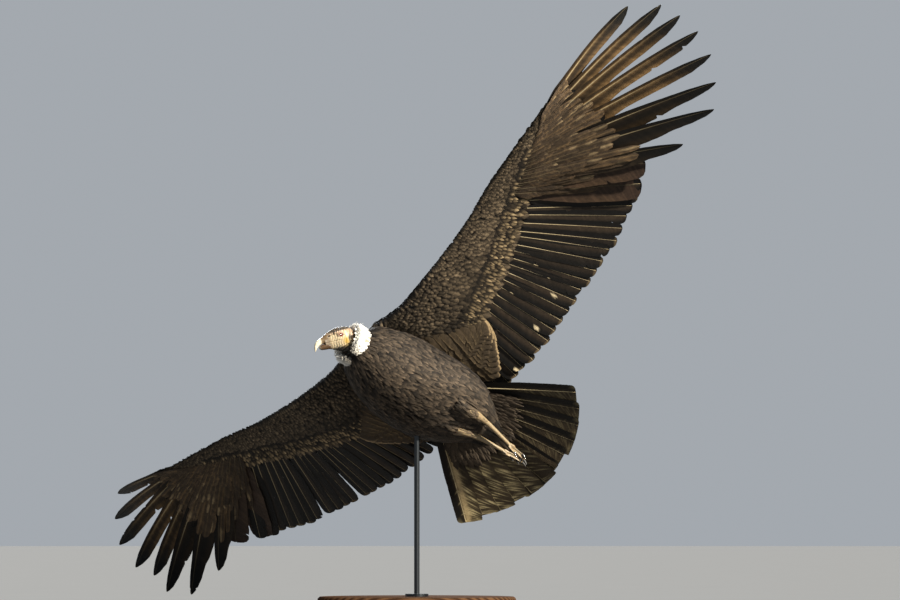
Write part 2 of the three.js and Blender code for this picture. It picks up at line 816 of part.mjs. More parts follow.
// The line that one closed toe lies along, and where its claw begins.
function toeLine(side, i) {
  const [root, tip] = legOf(side).slice(2).map(vec);
  const offset = vec(leg.toeOffset[i]);
  const start = root.clone().add(offset.clone().multiplyScalar(0.6));
  const end = root.clone().lerp(tip, leg.toeShare[i]).add(offset);
  return { start, end };
}

function footSolid(side) {
  const centre = vec(legOf(side)[2]);
  const palm = lump([centre.x - 9, centre.y, centre.z - 2], [14, 12, 9]);
  const toes = leg.toeRadius.map((radius, i) => {
    const { start, end } = toeLine(side, i);
    const middle = start.clone().lerp(end, 0.5).add(new THREE.Vector3(0, 0, -2));
    const pads = (t) => 0.7 * Math.cos(t * Math.PI * 4);
    return tube([start.toArray(), middle.toArray(), end.toArray()], [radius, radius * 0.94, radius * 0.72], 4, 5, pads);
  });
  const claws = leg.toeRadius.map((_, i) => clawSolid(side, i, gap));
  return largest(Manifold.union([palm, ...toes]).subtract(Manifold.union([grownShank(side), ...claws])));
}

// The shank with a little air round it, as a cutter for the foot.
function grownShank(side) {
  const points = legOf(side).slice(1, 3);
  const end = vec(points[1]).add(vec(points[1]).sub(vec(points[0])).setLength(gap)).toArray();
  return tube([points[0], end], [leg.ankleRadius + gap, leg.shankRadius + gap], 4, leg.sides);
}

function clawSolid(side, i, grow = 0) {
  const { start, end } = toeLine(side, i);
  const ahead = end.clone().sub(start).normalize();
  const first = end.clone().addScaledVector(ahead, -1);
  const last = first.clone().addScaledVector(ahead, leg.clawLength * 0.62).add(new THREE.Vector3(0, 0, -11));
  const middle = first.clone().lerp(last, 0.5).addScaledVector(ahead, 3.4);
  const radii = [leg.clawRadius, leg.clawRadius * 0.75, 0.7].map((radius) => radius + grow);
  return tube([first, middle, last].map((p) => p.toArray()), radii, 4, 6, () => 0, grow);
}

function baseSolid() {
  const { baseRadius: r, baseThick: h, chamfer: c } = stand;
  const outline = [[0, 0], [r, 0], [r, h - c], [r - c, h], [0, h]].map(([x, y]) => new THREE.Vector2(x, y));
  const round = new THREE.LatheGeometry(outline, stand.sides);
  round.rotateX(Math.PI / 2);
  return solidOf(round);
}

function post(radius, low, high) {
  const round = new THREE.CylinderGeometry(radius, radius, high - low, 24);
  round.rotateX(Math.PI / 2);
  round.translate(0, 0, (high + low) / 2);
  return solidOf(round);
}

const finish = {
  plumage: new THREE.MeshStandardMaterial({ color: "#2b2621", roughness: 0.62, metalness: 0 }),
  down: new THREE.MeshStandardMaterial({ color: "#f4f1ea", roughness: 0.9, metalness: 0 }),
  skin: new THREE.MeshStandardMaterial({ color: "#a98468", roughness: 0.55, metalness: 0 }),
  horn: new THREE.MeshStandardMaterial({ color: "#eee6d2", roughness: 0.35, metalness: 0 }),
  iris: new THREE.MeshStandardMaterial({ color: "#7a1d18", roughness: 0.08, metalness: 0 }),
  scutes: new THREE.MeshStandardMaterial({ color: "#c9b79b", roughness: 0.6, metalness: 0 }),
  claw: new THREE.MeshStandardMaterial({ color: "#2a2622", roughness: 0.4, metalness: 0 }),
  walnut: new THREE.MeshStandardMaterial({ color: "#4a3122", roughness: 0.45, metalness: 0 }),
  steel: new THREE.MeshStandardMaterial({ color: "#3c3f42", roughness: 0.35, metalness: 1 }),
};

function node(name, solid, material) {
  const mesh = new THREE.Mesh(geometryOf(solid), material);
  mesh.name = name;
  return mesh;
}

const bird = new THREE.Group();
bird.add(
  node("torso", torsoSolid(), finish.plumage),
  node("wing_left", wingSolid(5, false, primaries.leftTips, secondaries.leftPartings), finish.plumage),
  node("wing_right", wingSolid(9, true, primaries.rightTips, secondaries.rightPartings), finish.plumage),
  node("tail", tailSolid(), finish.plumage),
  node("neck", largest(neckSolid().subtract(torsoSolid(gap))), finish.skin),
  node("ruff", ruffSolid(), finish.down),
  node("head", headSolid(), finish.skin),
  node("bill_upper", upperBill(), finish.horn),
  node("bill_lower", lowerBill(), finish.horn),
  node("eye_left", inHead(eyeBall(1)), finish.iris),
  node("eye_right", inHead(eyeBall(-1)), finish.iris),
);
for (const [name, side] of [["left", 1], ["right", -1]]) {
  bird.add(node(`leg_${name}`, shankSolid(side), finish.scutes));
  bird.add(node(`foot_${name}`, footSolid(side), finish.scutes));
  leg.toeRadius.forEach((_, i) => bird.add(node(`claw_${name}_${i + 1}`, clawSolid(side, i), finish.claw)));
}
bird.rotation.set(radians(flight.bank), radians(-flight.climb), radians(flight.heading), "ZYX");
bird.position.set(flight.shoulderX, flight.shoulderY, flight.shoulderZ);
bird.updateMatrixWorld(true);

const torsoInPlace = torsoSolid(gap).transform(bird.matrixWorld.toArray());
const flangeTop = stand.baseThick + gap + stand.flangeThick;
const rodWhole = post(stand.rodRadius, flangeTop + gap, flight.shoulderZ);
const rodCut = rodWhole.subtract(torsoInPlace).decompose();
const rod = rodCut.reduce((low, piece) => (piece.boundingBox().min[2] < low.boundingBox().min[2] ? piece : low), rodCut[0]);

const condor = new THREE.Group();
condor.add(
  bird,
  node("stand_base", baseSolid(), finish.walnut),
  node("stand_flange", post(stand.flangeRadius, stand.baseThick + gap, flangeTop), finish.steel),
  node("stand_rod", rod, finish.steel),
);

export default condor;
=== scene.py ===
import json
import math

import bpy
import numpy as np
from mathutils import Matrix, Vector

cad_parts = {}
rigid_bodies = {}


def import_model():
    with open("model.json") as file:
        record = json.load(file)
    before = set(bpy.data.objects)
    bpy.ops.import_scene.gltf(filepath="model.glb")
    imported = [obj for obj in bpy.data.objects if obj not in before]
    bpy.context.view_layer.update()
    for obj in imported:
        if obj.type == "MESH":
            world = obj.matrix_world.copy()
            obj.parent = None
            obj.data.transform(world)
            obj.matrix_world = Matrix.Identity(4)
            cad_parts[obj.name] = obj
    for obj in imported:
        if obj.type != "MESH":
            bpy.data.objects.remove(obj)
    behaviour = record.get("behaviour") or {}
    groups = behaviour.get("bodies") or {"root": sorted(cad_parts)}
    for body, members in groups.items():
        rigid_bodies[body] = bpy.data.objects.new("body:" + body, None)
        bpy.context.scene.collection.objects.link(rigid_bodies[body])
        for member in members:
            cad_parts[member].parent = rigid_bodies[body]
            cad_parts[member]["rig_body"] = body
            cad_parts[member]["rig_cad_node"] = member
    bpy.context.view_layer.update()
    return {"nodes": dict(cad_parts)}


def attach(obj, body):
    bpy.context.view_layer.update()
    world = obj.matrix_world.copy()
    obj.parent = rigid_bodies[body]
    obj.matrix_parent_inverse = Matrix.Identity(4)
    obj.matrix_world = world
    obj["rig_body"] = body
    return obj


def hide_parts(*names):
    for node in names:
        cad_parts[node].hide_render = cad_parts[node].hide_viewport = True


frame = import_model()
print("frame loaded")

# The bird's own frame, in millimetres: x ahead, y to its left, z out of its back.
flight = {"heading": 205, "climb": 31, "bank": 40.7, "shoulder": (-154, -57, 780)}

view = {"place": (0.097, -12.0446, 0.2203), "lookUp": 3.25, "lens": 164.44, "sensor": 36}


def turnAbout(axis, degrees):
    c = math.cos(math.radians(degrees))
    s = math.sin(math.radians(degrees))
    if axis == "x":
        return np.array([[1, 0, 0], [0, c, -s], [0, s, c]])
    if axis == "y":
        return np.array([[c, 0, s], [0, 1, 0], [-s, 0, c]])
    return np.array([[c, -s, 0], [s, c, 0], [0, 0, 1]])


birdTurn = (
    turnAbout("z", flight["heading"]) @ turnAbout("y", -flight["climb"]) @ turnAbout("x", flight["bank"])
)


# Points of the bird's frame in metres of the row frame.
def toWorld(points):
    return (np.asarray(points, float) @ birdTurn.T + np.array(flight["shoulder"])) / 1000


def unit(v):
    return v / np.maximum(np.linalg.norm(v, axis=-1, keepdims=True), 1e-9)


def mix(a, b, t):
    return a + (b - a) * t


def smooth(t):
    t = np.clip(t, 0, 1)
    return t * t * (3 - 2 * t)


# Coordinates of any shapes made one grid of points.
def grid(*parts):
    return np.stack(np.broadcast_arrays(*parts), axis=-1)


# Even angles round a full turn.
def roundTurn(count):
    return np.arange(count) / count * 2 * math.pi


# The points of a line at the places asked for.
def readLine(at, keys, line):
    return np.stack([np.interp(at, keys, line[:, k]) for k in range(3)], axis=1)


# A curve from root to tip, pulled towards its middle point.
def bent(root, middle, tip, t):
    return (1 - t) ** 2 * root + 2 * t * (1 - t) * middle + t * t * tip


# Points of an egg's section: flatter or fuller sides, and its widest place at a share of its height.
def eggRing(x, top, low, half, angle, squareness, widest):
    middle = mix(low, top, widest)
    c = np.cos(angle)
    d = np.sin(angle)
    y = half * np.sign(c) * np.abs(c) ** squareness
    z = np.where(d >= 0, middle + (top - middle) * d, middle + (middle - low) * d)
    return grid(x, y, z)


# A smooth line through a few points, as many small steps, evenly spaced along its length.
def curveThrough(points, steps=400):
    p = np.array(points, float)
    p = np.vstack([2 * p[0] - p[1], p, 2 * p[-1] - p[-2]])
    out = []
    for i in range(1, len(p) - 2):
        a, b, c, d = p[i - 1 : i + 3]
        k1 = np.linalg.norm(b - a) ** 0.5
        k2 = k1 + np.linalg.norm(c - b) ** 0.5
        k3 = k2 + np.linalg.norm(d - c) ** 0.5
        t = np.linspace(k1, k2, 60, endpoint=False)[:, None]
        ab = (k1 - t) / k1 * a + t / k1 * b
        bc = (k2 - t) / (k2 - k1) * b + (t - k1) / (k2 - k1) * c
        cd = (k3 - t) / (k3 - k2) * c + (t - k2) / (k3 - k2) * d
        abc = (k2 - t) / k2 * ab + t / k2 * bc
        bcd = (k3 - t) / (k3 - k1) * bc + (t - k1) / (k3 - k1) * cd
        out.append((k2 - t) / (k2 - k1) * abc + (t - k1) / (k2 - k1) * bcd)
    line = np.vstack(out + [p[-2][None]])
    far = np.concatenate([[0], np.cumsum(np.linalg.norm(np.diff(line, axis=0), axis=1))])
    at = np.linspace(0, far[-1], steps)
    return readLine(at, far, line)


# A table read by a smooth line through its entries.
def readSmooth(keys, values, key):
    keys = np.array(keys, float)
    values = np.array(values, float)
    slope = np.gradient(values, keys)
    key = np.clip(key, keys[0], keys[-1])
    i = np.clip(np.searchsorted(keys, key) - 1, 0, len(keys) - 2)
    h = keys[i + 1] - keys[i]
    t = (key - keys[i]) / h
    a = (1 + 2 * t) * (1 - t) ** 2 * values[i] + t * (1 - t) ** 2 * h * slope[i]
    return a + t * t * (3 - 2 * t) * values[i + 1] + t * t * (t - 1) * h * slope[i + 1]


# sRGB hex to the linear colour that Blender's sockets and attributes take.
def linear(hexColour):
    parts = [int(hexColour[i : i + 2], 16) / 255 for i in (1, 3, 5)]
    return np.array([c / 12.92 if c <= 0.04045 else ((c + 0.055) / 1.055) ** 2.4 for c in parts])


def paints(**hexColours):
    return {name: linear(code) for name, code in hexColours.items()}


def rgba(hexColour):
    return (*[float(c) for c in linear(hexColour)], 1.0)


def newMaterial(name):
    material = bpy.data.materials.new(name)
    material.use_nodes = True
    tree = material.node_tree
    tree.nodes.clear()
    return material, tree


# Adds any node, with its inputs by name, or by number as i0, i1 and so on.
def add(tree, kind, settings=None, **inputs):
    node = tree.nodes.new("ShaderNode" + kind)
    for key, value in (settings or {}).items():
        setattr(node, key, value)
    for key, value in inputs.items():
        numbered = key[0] == "i" and key[1:].isdigit()
        socket = node.inputs[int(key[1:]) if numbered else key.replace("_", " ")]
        if isinstance(value, bpy.types.NodeSocket):
            tree.links.new(value, socket)
        else:
            socket.default_value = value
    return node


def closeMaterial(tree, surface):
    tree.links.new(surface.outputs[0], add(tree, "OutputMaterial").inputs[0])


# Plumage reads its colour from the mesh and adds the fine barbs, fading and a low sheen.
# The barbs lie pi / 10 / scale apart on the vane map, which counts 100 mm as 1; the fading is in 7 mm spots.
def plumageMaterial(name, rough, sheen, barbs, fleck):
    material, tree = newMaterial(name)
    shade = add(tree, "Attribute", {"attribute_name": "shade"})
    vane = add(tree, "UVMap", {"uv_map": "vane"})
    place = add(tree, "TexCoord")
    lines = add(
        tree, "TexWave", {"bands_direction": "Y"},
        Vector=vane.outputs[0], Scale=barbs, Distortion=2.5, Detail=2.0,
    )
    mottle = add(tree, "TexNoise", Vector=place.outputs["Object"], Scale=140.0, Detail=6.0, Roughness=0.7)
    tone = add(tree, "MapRange", Value=lines.outputs["Fac"], To_Min=1 - fleck, To_Max=1 + fleck)
    fade = add(
        tree, "MapRange", Value=mottle.outputs["Fac"],
        From_Min=0.3, From_Max=0.7, To_Min=0.72, To_Max=1.24,
    )
    both = add(tree, "Math", {"operation": "MULTIPLY"}, i0=tone.outputs[0], i1=fade.outputs[0])
    scaled = add(tree, "VectorMath", {"operation": "SCALE"}, i0=shade.outputs["Color"], i3=both.outputs[0])
    bump = add(tree, "Bump", Strength=0.35, Distance=0.0004, Height=lines.outputs["Fac"])
    surface = add(
        tree, "BsdfPrincipled", Base_Color=scaled.outputs[0], Roughness=rough, Normal=bump.outputs[0],
        Sheen_Weight=sheen, Sheen_Roughness=0.4, Specular_IOR_Level=0.16,
    )
    closeMaterial(tree, surface)
    return material


# Skin and scutes: cells of 1 / cells metres with a low relief, over a coarser light and dark.
def skinMaterial(name, rough, wrinkle, cells):
    material, tree = newMaterial(name)
    shade = add(tree, "Attribute", {"attribute_name": "shade"})
    place = add(tree, "TexCoord")
    pores = add(
        tree, "TexVoronoi", {"feature": "DISTANCE_TO_EDGE"}, Vector=place.outputs["Object"], Scale=cells,
    )
    grain = add(tree, "TexNoise", Vector=place.outputs["Object"], Scale=cells * 0.45, Detail=7.0)
    tone = add(
        tree, "MapRange", Value=grain.outputs["Fac"],
        From_Min=0.3, From_Max=0.7, To_Min=0.78, To_Max=1.18,
    )
    scaled = add(tree, "VectorMath", {"operation": "SCALE"}, i0=shade.outputs["Color"], i3=tone.outputs[0])
    height = add(tree, "Math", {"operation": "ADD"}, i0=pores.outputs["Distance"], i1=grain.outputs["Fac"])
    bump = add(tree, "Bump", Strength=wrinkle, Distance=0.0006, Height=height.outputs[0])
    surface = add(
        tree, "BsdfPrincipled", Base_Color=scaled.outputs[0], Roughness=rough, Normal=bump.outputs[0],
        Subsurface_Weight=0.12, Subsurface_Radius=(0.004, 0.0015, 0.0008), Subsurface_Scale=0.6,
    )
    closeMaterial(tree, surface)
    return material


# Horn clouded between two colours in patches of about 5 mm.
def hornMaterial(name, pale, dark, rough, low, high):
    material, tree = newMaterial(name)
    shade = add(tree, "Attribute", {"attribute_name": "shade"})
    place = add(tree, "TexCoord")
    grain = add(tree, "TexNoise", Vector=place.outputs["Object"], Scale=210.0, Detail=8.0, Roughness=0.65)
    ramp = add(tree, "MapRange", Value=grain.outputs["Fac"], From_Min=low, From_Max=high)
    colour = add(tree, "Mix", {"data_type": "RGBA"}, i0=ramp.outputs[0], i6=rgba(dark), i7=rgba(pale))
    tinted = add(
        tree, "Mix", {"data_type": "RGBA", "blend_type": "MULTIPLY"},
        i0=1.0, i6=colour.outputs[2], i7=shade.outputs["Color"],
    )
    bump = add(tree, "Bump", Strength=0.2, Distance=0.0003, Height=grain.outputs["Fac"])
    surface = add(
        tree, "BsdfPrincipled",
        Base_Color=tinted.outputs[2], Roughness=rough, Normal=bump.outputs[0], Coat_Weight=0.15,
    )
    closeMaterial(tree, surface)
    return material


# Soft contour feathers: matt and dark, with barbs of 0.5 mm drawn 0.7 mm apart so that they show.
plumage = plumageMaterial("black vulture plumage", 0.7, 0.05, 46.0, 0.2)
# Stiff vanes: a little smoother and glossier, with barbs of 0.5 mm drawn 1 mm apart.
flightPlumage = plumageMaterial("glossy flight feathers", 0.5, 0.02, 30.0, 0.2)
# Loose down: no gloss, and a glow along its edge from the threads, 0.5 mm apart.
downWool = plumageMaterial("white ruff down", 0.9, 0.5, 60.0, 0.06)
# Bare skin: a soft inner glow, with pores drawn as 2 mm cells, twice their real size.
bareSkin = skinMaterial("bare wrinkled skin", 0.5, 0.55, 520.0)
# Leg scutes: dry horn in scales of 3 mm with dull ridges.
scuteSkin = skinMaterial("horny leg scutes", 0.55, 0.8, 330.0)
# Bill horn: ivory, smooth and lightly polished by use.
billHorn = hornMaterial("ivory bill horn", "#efe6cf", "#cdbf9e", 0.33, 0.3, 0.62)
# Claw horn: nearly black, dull from wear.
clawHorn = hornMaterial("black claw horn", "#231e1a", "#0e0c0a", 0.6, 0.3, 0.7)
print("materials made")

random = np.random.default_rng(31)


# One random value to each feather.
def perFeather(low, high, count):
    return random.uniform(low, high, (count, 1, 1, 1))


def put(items, name, values, kind=np.float32):
    items.foreach_set(name, np.asarray(values).astype(kind).ravel())


def take(vertices, name):
    values = np.empty(len(vertices) * 3, np.float32)
    vertices.foreach_get(name, values)
    return values.reshape(-1, 3)


# Colours at the corners, smooth faces and one material, on the bird's body.
def dress(piece, shade, material):
    mesh = piece.data
    corners = mesh.color_attributes.new("shade", "FLOAT_COLOR", "POINT").data
    put(corners, "color", np.insert(shade, 3, 1, axis=1))
    put(mesh.polygons, "use_smooth", np.ones(len(mesh.polygons)), bool)
    mesh.materials.clear()
    mesh.materials.append(material)
    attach(piece, "root")
    print(piece.name, len(mesh.polygons) * 2, "triangles")


def newPiece(name, mesh):
    piece = bpy.data.objects.new(name, mesh)
    bpy.context.scene.collection.objects.link(piece)
    return piece


# A coat gathers whole grids of points: each is rows by columns of corners joined by four-sided faces.
def newCoat():
    return {"points": [], "shade": [], "vane": [], "bake": [], "faces": [], "count": 0}


def addGrids(coat, points, shade, bake, vane=0.0, closed=False, flip=False):
    many, rows, columns = points.shape[:3]
    r = np.arange(rows - 1)[:, None] * columns
    c = np.arange(columns if closed else columns - 1)[None, :]
    n = (c + 1) % columns
    quad = np.stack([r + c, r + n, r + columns + n, r + columns + c], axis=-1)
    if flip:
        quad = quad[..., ::-1]
    base = coat["count"] + np.arange(many)[:, None, None] * rows * columns
    coat["faces"].append((quad.reshape(1, -1, 4) + base).reshape(-1, 4))
    coat["count"] += many * rows * columns
    given = (("points", points, 3), ("shade", shade, 3), ("vane", vane, 2), ("bake", bake, 2))
    for key, values, wide in given:
        coat[key].append(np.broadcast_to(values, (many, rows, columns, wide)).reshape(-1, wide))


def mirrored(coat, mirror):
    if mirror:
        coat["points"] = [p * np.array([1, -1, 1]) for p in coat["points"]]
        coat["faces"] = [f[:, ::-1] for f in coat["faces"]]
    return coat


def buildCoat(name, coat, material):
    points = toWorld(np.vstack(coat["points"]))
    faces = np.vstack(coat["faces"])
    mesh = bpy.data.meshes.new(name)
    mesh.vertices.add(len(points))
    put(mesh.vertices, "co", points)
    mesh.loops.add(faces.size)
    put(mesh.loops, "vertex_index", faces, np.int32)
    mesh.polygons.add(len(faces))
    put(mesh.polygons, "loop_start", np.arange(0, faces.size, 4), np.int32)
    mesh.update(calc_edges=True)
    for layer, key in (("OFBake", "bake"), ("vane", "vane")):
        put(mesh.uv_layers.new(name=layer).data, "uv", np.vstack(coat[key])[faces.ravel()])
    piece = newPiece(name, mesh)
    dress(piece, np.vstack(coat["shade"]), material)
    return piece


# Half widths of a feather's leading and trailing vane, as shares of its width, along its length.
vaneForms = {
    "round": {
        "at": [0, 0.15, 0.4, 0.75, 0.9, 0.96, 0.99, 1],
        "lead": [0.1, 0.26, 0.32, 0.34, 0.32, 0.28, 0.19, 0.03],
        "trail": [0.12, 0.4, 0.57, 0.58, 0.52, 0.43, 0.28, 0.04],
    },
    "inner finger": {
        "at": [0, 0.12, 0.3, 0.46, 0.56, 0.66, 0.74, 0.86, 0.95, 0.99, 1],
        "lead": [0.08, 0.2, 0.26, 0.27, 0.26, 0.23, 0.2, 0.17, 0.11, 0.05, 0.01],
        "trail": [0.1, 0.5, 0.72, 0.78, 0.76, 0.66, 0.52, 0.42, 0.26, 0.1, 0.01],
    },
    "finger": {
        "at": [0, 0.12, 0.26, 0.38, 0.48, 0.7, 0.86, 0.95, 0.99, 1],
        "lead": [0.08, 0.2, 0.26, 0.23, 0.19, 0.2, 0.18, 0.11, 0.05, 0.01],
        "trail": [0.1, 0.5, 0.7, 0.62, 0.5, 0.5, 0.44, 0.26, 0.1, 0.01],
    },
    "outer finger": {
        "at": [0, 0.1, 0.2, 0.3, 0.4, 0.7, 0.86, 0.95, 0.99, 1],
        "lead": [0.08, 0.2, 0.24, 0.2, 0.18, 0.2, 0.18, 0.11, 0.05, 0.01],
        "trail": [0.1, 0.44, 0.56, 0.5, 0.42, 0.46, 0.42, 0.26, 0.1, 0.01],
    },
    "square": {
        "at": [0, 0.12, 0.4, 0.8, 0.95, 0.985, 1],
        "lead": [0.1, 0.26, 0.32, 0.32, 0.31, 0.26, 0.17],
        "trail": [0.12, 0.4, 0.62, 0.66, 0.64, 0.54, 0.32],
    },
    "plume": {
        "at": [0, 0.25, 0.5, 0.75, 0.9, 1],
        "lead": [0.22, 0.48, 0.5, 0.36, 0.2, 0.03],
        "trail": [0.22, 0.48, 0.5, 0.36, 0.2, 0.03],
    },
}


# Feather vanes as slanted grids whose cross lines follow the barbs.
# side is 1 where the leading vane lies left of the shaft seen along it from above, -1 otherwise.
def vanes(
    root, tip, bow, up, width, form, rows, columns,
    side=1, tilt=0, tipTilt=None, camber=0.06, lean=0.5, split=0.0, frayed=0.0,
):
    many = len(root)
    shape = vaneForms[form]
    t = (1 - (1 - np.linspace(0, 1, rows)) ** 1.25)[None, :, None]
    middle = (root + tip) / 2 + bow
    line = bent(root[:, None], middle[:, None], tip[:, None], t)
    along = unit(2 * (1 - t) * (middle - root)[:, None] + 2 * t * (tip - middle)[:, None])
    ahead = unit(np.cross(along, up[:, None])) * side
    turn = -np.radians(mix(tilt, tilt if tipTilt is None else tipTilt, t)) * side
    ahead = ahead * np.cos(turn) + np.cross(along, ahead) * np.sin(turn)
    above = np.cross(ahead, along) * side
    s = np.linspace(-1, 1, columns)
    flat = t[0, :, 0]
    lead, trail = (np.interp(flat, shape["at"], shape[key])[:, None] for key in ("lead", "trail"))
    width = np.broadcast_to(width, (many,))[:, None, None]
    reach = np.where(s > 0, lead, trail) * width
    if split:
        torn = random.random((many, rows, 2)) < split
        depth = random.uniform(0.08, 0.36, (many, rows, 2)) * torn
        reach = reach * (1 - np.where(s > 0, depth[..., :1], depth[..., 1:]) * np.abs(s) ** 3)
    if frayed:
        reach = reach * (1 + frayed * random.standard_normal((many, rows, columns)) * np.abs(s) ** 2)
    out = reach * s
    forward = lean * np.abs(out) * (1 - t**6)
    points = line[:, :, None] + ahead[:, :, None] * out[..., None] + along[:, :, None] * forward[..., None]
    points = points - above[:, :, None] * (camber * width * s**2)[..., None]
    length = np.linalg.norm(tip - root, axis=1)[:, None, None]
    # barbs that catch the light, one value to each row on each side of the shaft
    glint = random.random((many, rows, 2)) ** 2
    return {
        "points": points, "line": line, "above": above, "vane": grid(out / 100, t * length / 100),
        "glint": np.where(s > 0, glint[..., :1], glint[..., 1:])[..., None],
        "along": flat, "t": flat[None, :, None, None], "s": s[None, None, :, None],
    }


# A patch of the bake map at each feather's own root.
def bakePatch(f, u, v, size=0.003):
    rows, columns = f["points"].shape[1:3]
    corner = grid(np.linspace(0, size, columns), np.linspace(0, size, rows)[:, None])
    return grid(u, v)[:, None, None] + corner


# Feathers of one face each, as on the body and over the wings.
def addFeathers(coat, f, shade, u, v):
    bake = bakePatch(f, u, v)
    addGrids(coat, f["points"], shade, bake, f["vane"])
    return bake


# A flight feather's two faces, thickest at the shaft and meeting all round the edge.
def addPlates(coat, f, upper, lower, bake, thick, side=1):
    lift = f["above"][:, :, None] * (thick / 2 * (1 - f["s"] ** 4) * (1 - f["t"] ** 16))
    addGrids(coat, f["points"] + lift, upper, bake, f["vane"], flip=side < 0)
    addGrids(coat, f["points"] - lift, lower, bake, f["vane"], flip=side > 0)


# Five-sided shafts that stand out above and below the vanes and taper to the tip.
def addShafts(coat, f, radius, shade, bake):
    lines = f["line"][:, ::2]
    along = unit(np.gradient(lines, axis=1))
    across = unit(np.cross(along, (0, 0, 1)))
    other = np.cross(across, along)
    angle = roundTurn(5)[:, None]
    ring = across[:, :, None] * np.cos(angle) + other[:, :, None] * np.sin(angle)
    taper = (mix(1, 0.4, f["along"])[None, ::2] * radius)[..., None, None]
    addGrids(coat, lines[:, :, None] + ring * taper, shade, bake[:, :1, :1], closed=True)


# Slow light and dark over a surface, between -1 and 1, by the place of each feather.
def cloud(points, size):
    x, y, z = (points / size).T
    first = np.sin(x * 1.7 + 2 * np.sin(y * 0.9 + z))
    return (first + np.sin(y * 2.3 + 1.5 * np.sin(x * 1.1)) + np.sin(z * 1.9 + x)) / 3


body = {
    "frontX": 36, "squareness": 0.92, "widestFront": 0.74, "widestRear": 0.55,
    "stations": [0, 0.03, 0.08, 0.16, 0.27, 0.4, 0.54, 0.68, 0.8, 0.9, 0.97, 1],
    "halfWidth": [36, 66, 90, 114, 131, 140, 144, 142, 127, 104, 78, 56],
    "back": [-14, 2, 18, 36, 50, 56, 54, 42, 24, 6, -12, -22],
    "belly": [-84, -102, -120, -144, -162, -168, -162, -146, -124, -102, -84, -72],
    "bend": [0, 0, 0, 0, 0, 0, 1, 4, 9, 14, 18, 19],
    "rows": 58, "around": 106, "fewerAtRump": 24, "coatDepth": 8, "length": 478,
    "featherLength": (40, 66), "rumpLength": 78, "featherWidth": (8.5, 12),
    **paints(dark="#191511", pale="#443a2f", backTint="#121010", skin="#14110f"),
}


# The body's surface at a share of its length and an angle round it, moved in or out by grow.
def bodySurface(share, angle, grow=0):
    at = np.clip(share, 0, 1)
    half, top, low = (readSmooth(body["stations"], body[key], at) for key in ("halfWidth", "back", "belly"))
    widest = mix(body["widestFront"], body["widestRear"], np.minimum(1, at * 2.2))
    x = body["frontX"] - share * body["length"]
    points = eggRing(x, top + grow, low - grow, half + grow, angle, body["squareness"], widest)
    points[..., 1] += np.interp(at, body["stations"], body["bend"])
    return points


def bodyNormal(share, angle):
    e = 0.01
    alongIt = bodySurface(np.clip(share + e, 0, 1), angle) - bodySurface(np.clip(share - e, 0, 1), angle)
    roundIt = bodySurface(share, angle + e) - bodySurface(share, angle - e)
    return unit(np.cross(alongIt, roundIt))


def bodyCoat():
    coat = newCoat()
    for row in range(body["rows"]):
        at = row / (body["rows"] - 1)
        count = body["around"] if at < 0.9 else body["around"] - body["fewerAtRump"]
        angle = (np.arange(count) + 0.5 * (row % 2)) / count * 2 * math.pi + random.normal(0, 0.02, count)
        share = at + random.normal(0, 0.006, count)
        below = smooth(0.5 - 0.8 * np.sin(angle))
        length = mix(*body["featherLength"], smooth(at)) * random.uniform(0.75, 1.25, count)
        length += body["rumpLength"] * smooth((at - 0.7) * 3.6) * (0.6 + 0.4 * below)
        root = bodySurface(share, angle, 1 - body["coatDepth"])
        far = share + length / body["length"]
        sway = angle + random.normal(0, 0.06, count)
        tip = bodySurface(far, sway, -1.6 + random.normal(0, 1.5, count) - 20 * smooth((far - 1) * 4))
        middle = bodySurface((share + far) / 2, (angle + sway) / 2, -0.8 + random.normal(0, 0.5, count))
        f = vanes(
            root, tip, 2 * (middle - (root + tip) / 2), bodyNormal(share, angle),
            mix(*body["featherWidth"], smooth(at)) * random.uniform(0.7, 1.25, count),
            "plume", 6, 4, camber=0.0, split=0.3, frayed=0.16,
        )
        tone = np.clip(1 + 0.25 * cloud(root, 30) + random.normal(0, 0.32, count), 0.25, 2.2)[:, None]
        base = mix(body["backTint"], body["dark"], below[:, None]) * tone
        fringe = mix(body["backTint"] * 1.25, body["pale"], below[:, None]) * tone
        rim = smooth((f["t"] - 0.35) / 0.6)
        shade = mix(base[:, None, None], fringe[:, None, None], rim) * (0.82 + 0.5 * f["glint"])
        addFeathers(coat, f, shade, np.mod(angle / (2 * math.pi), 1) * 0.99, np.clip(share, 0, 1) * 0.99)
    return coat


legs = {
    "left": [[-330, 80, -112], [-402, 73, -97]], "right": [[-352, 2, -108], [-428, 6, -90]],
    "tuftRows": 9, "tuftsAround": 18, "tuftFrom": -0.7, "tuftTo": 0.56, "slim": 0.0026,
    **paints(tuft="#4c4134", scute="#75654b"),
}


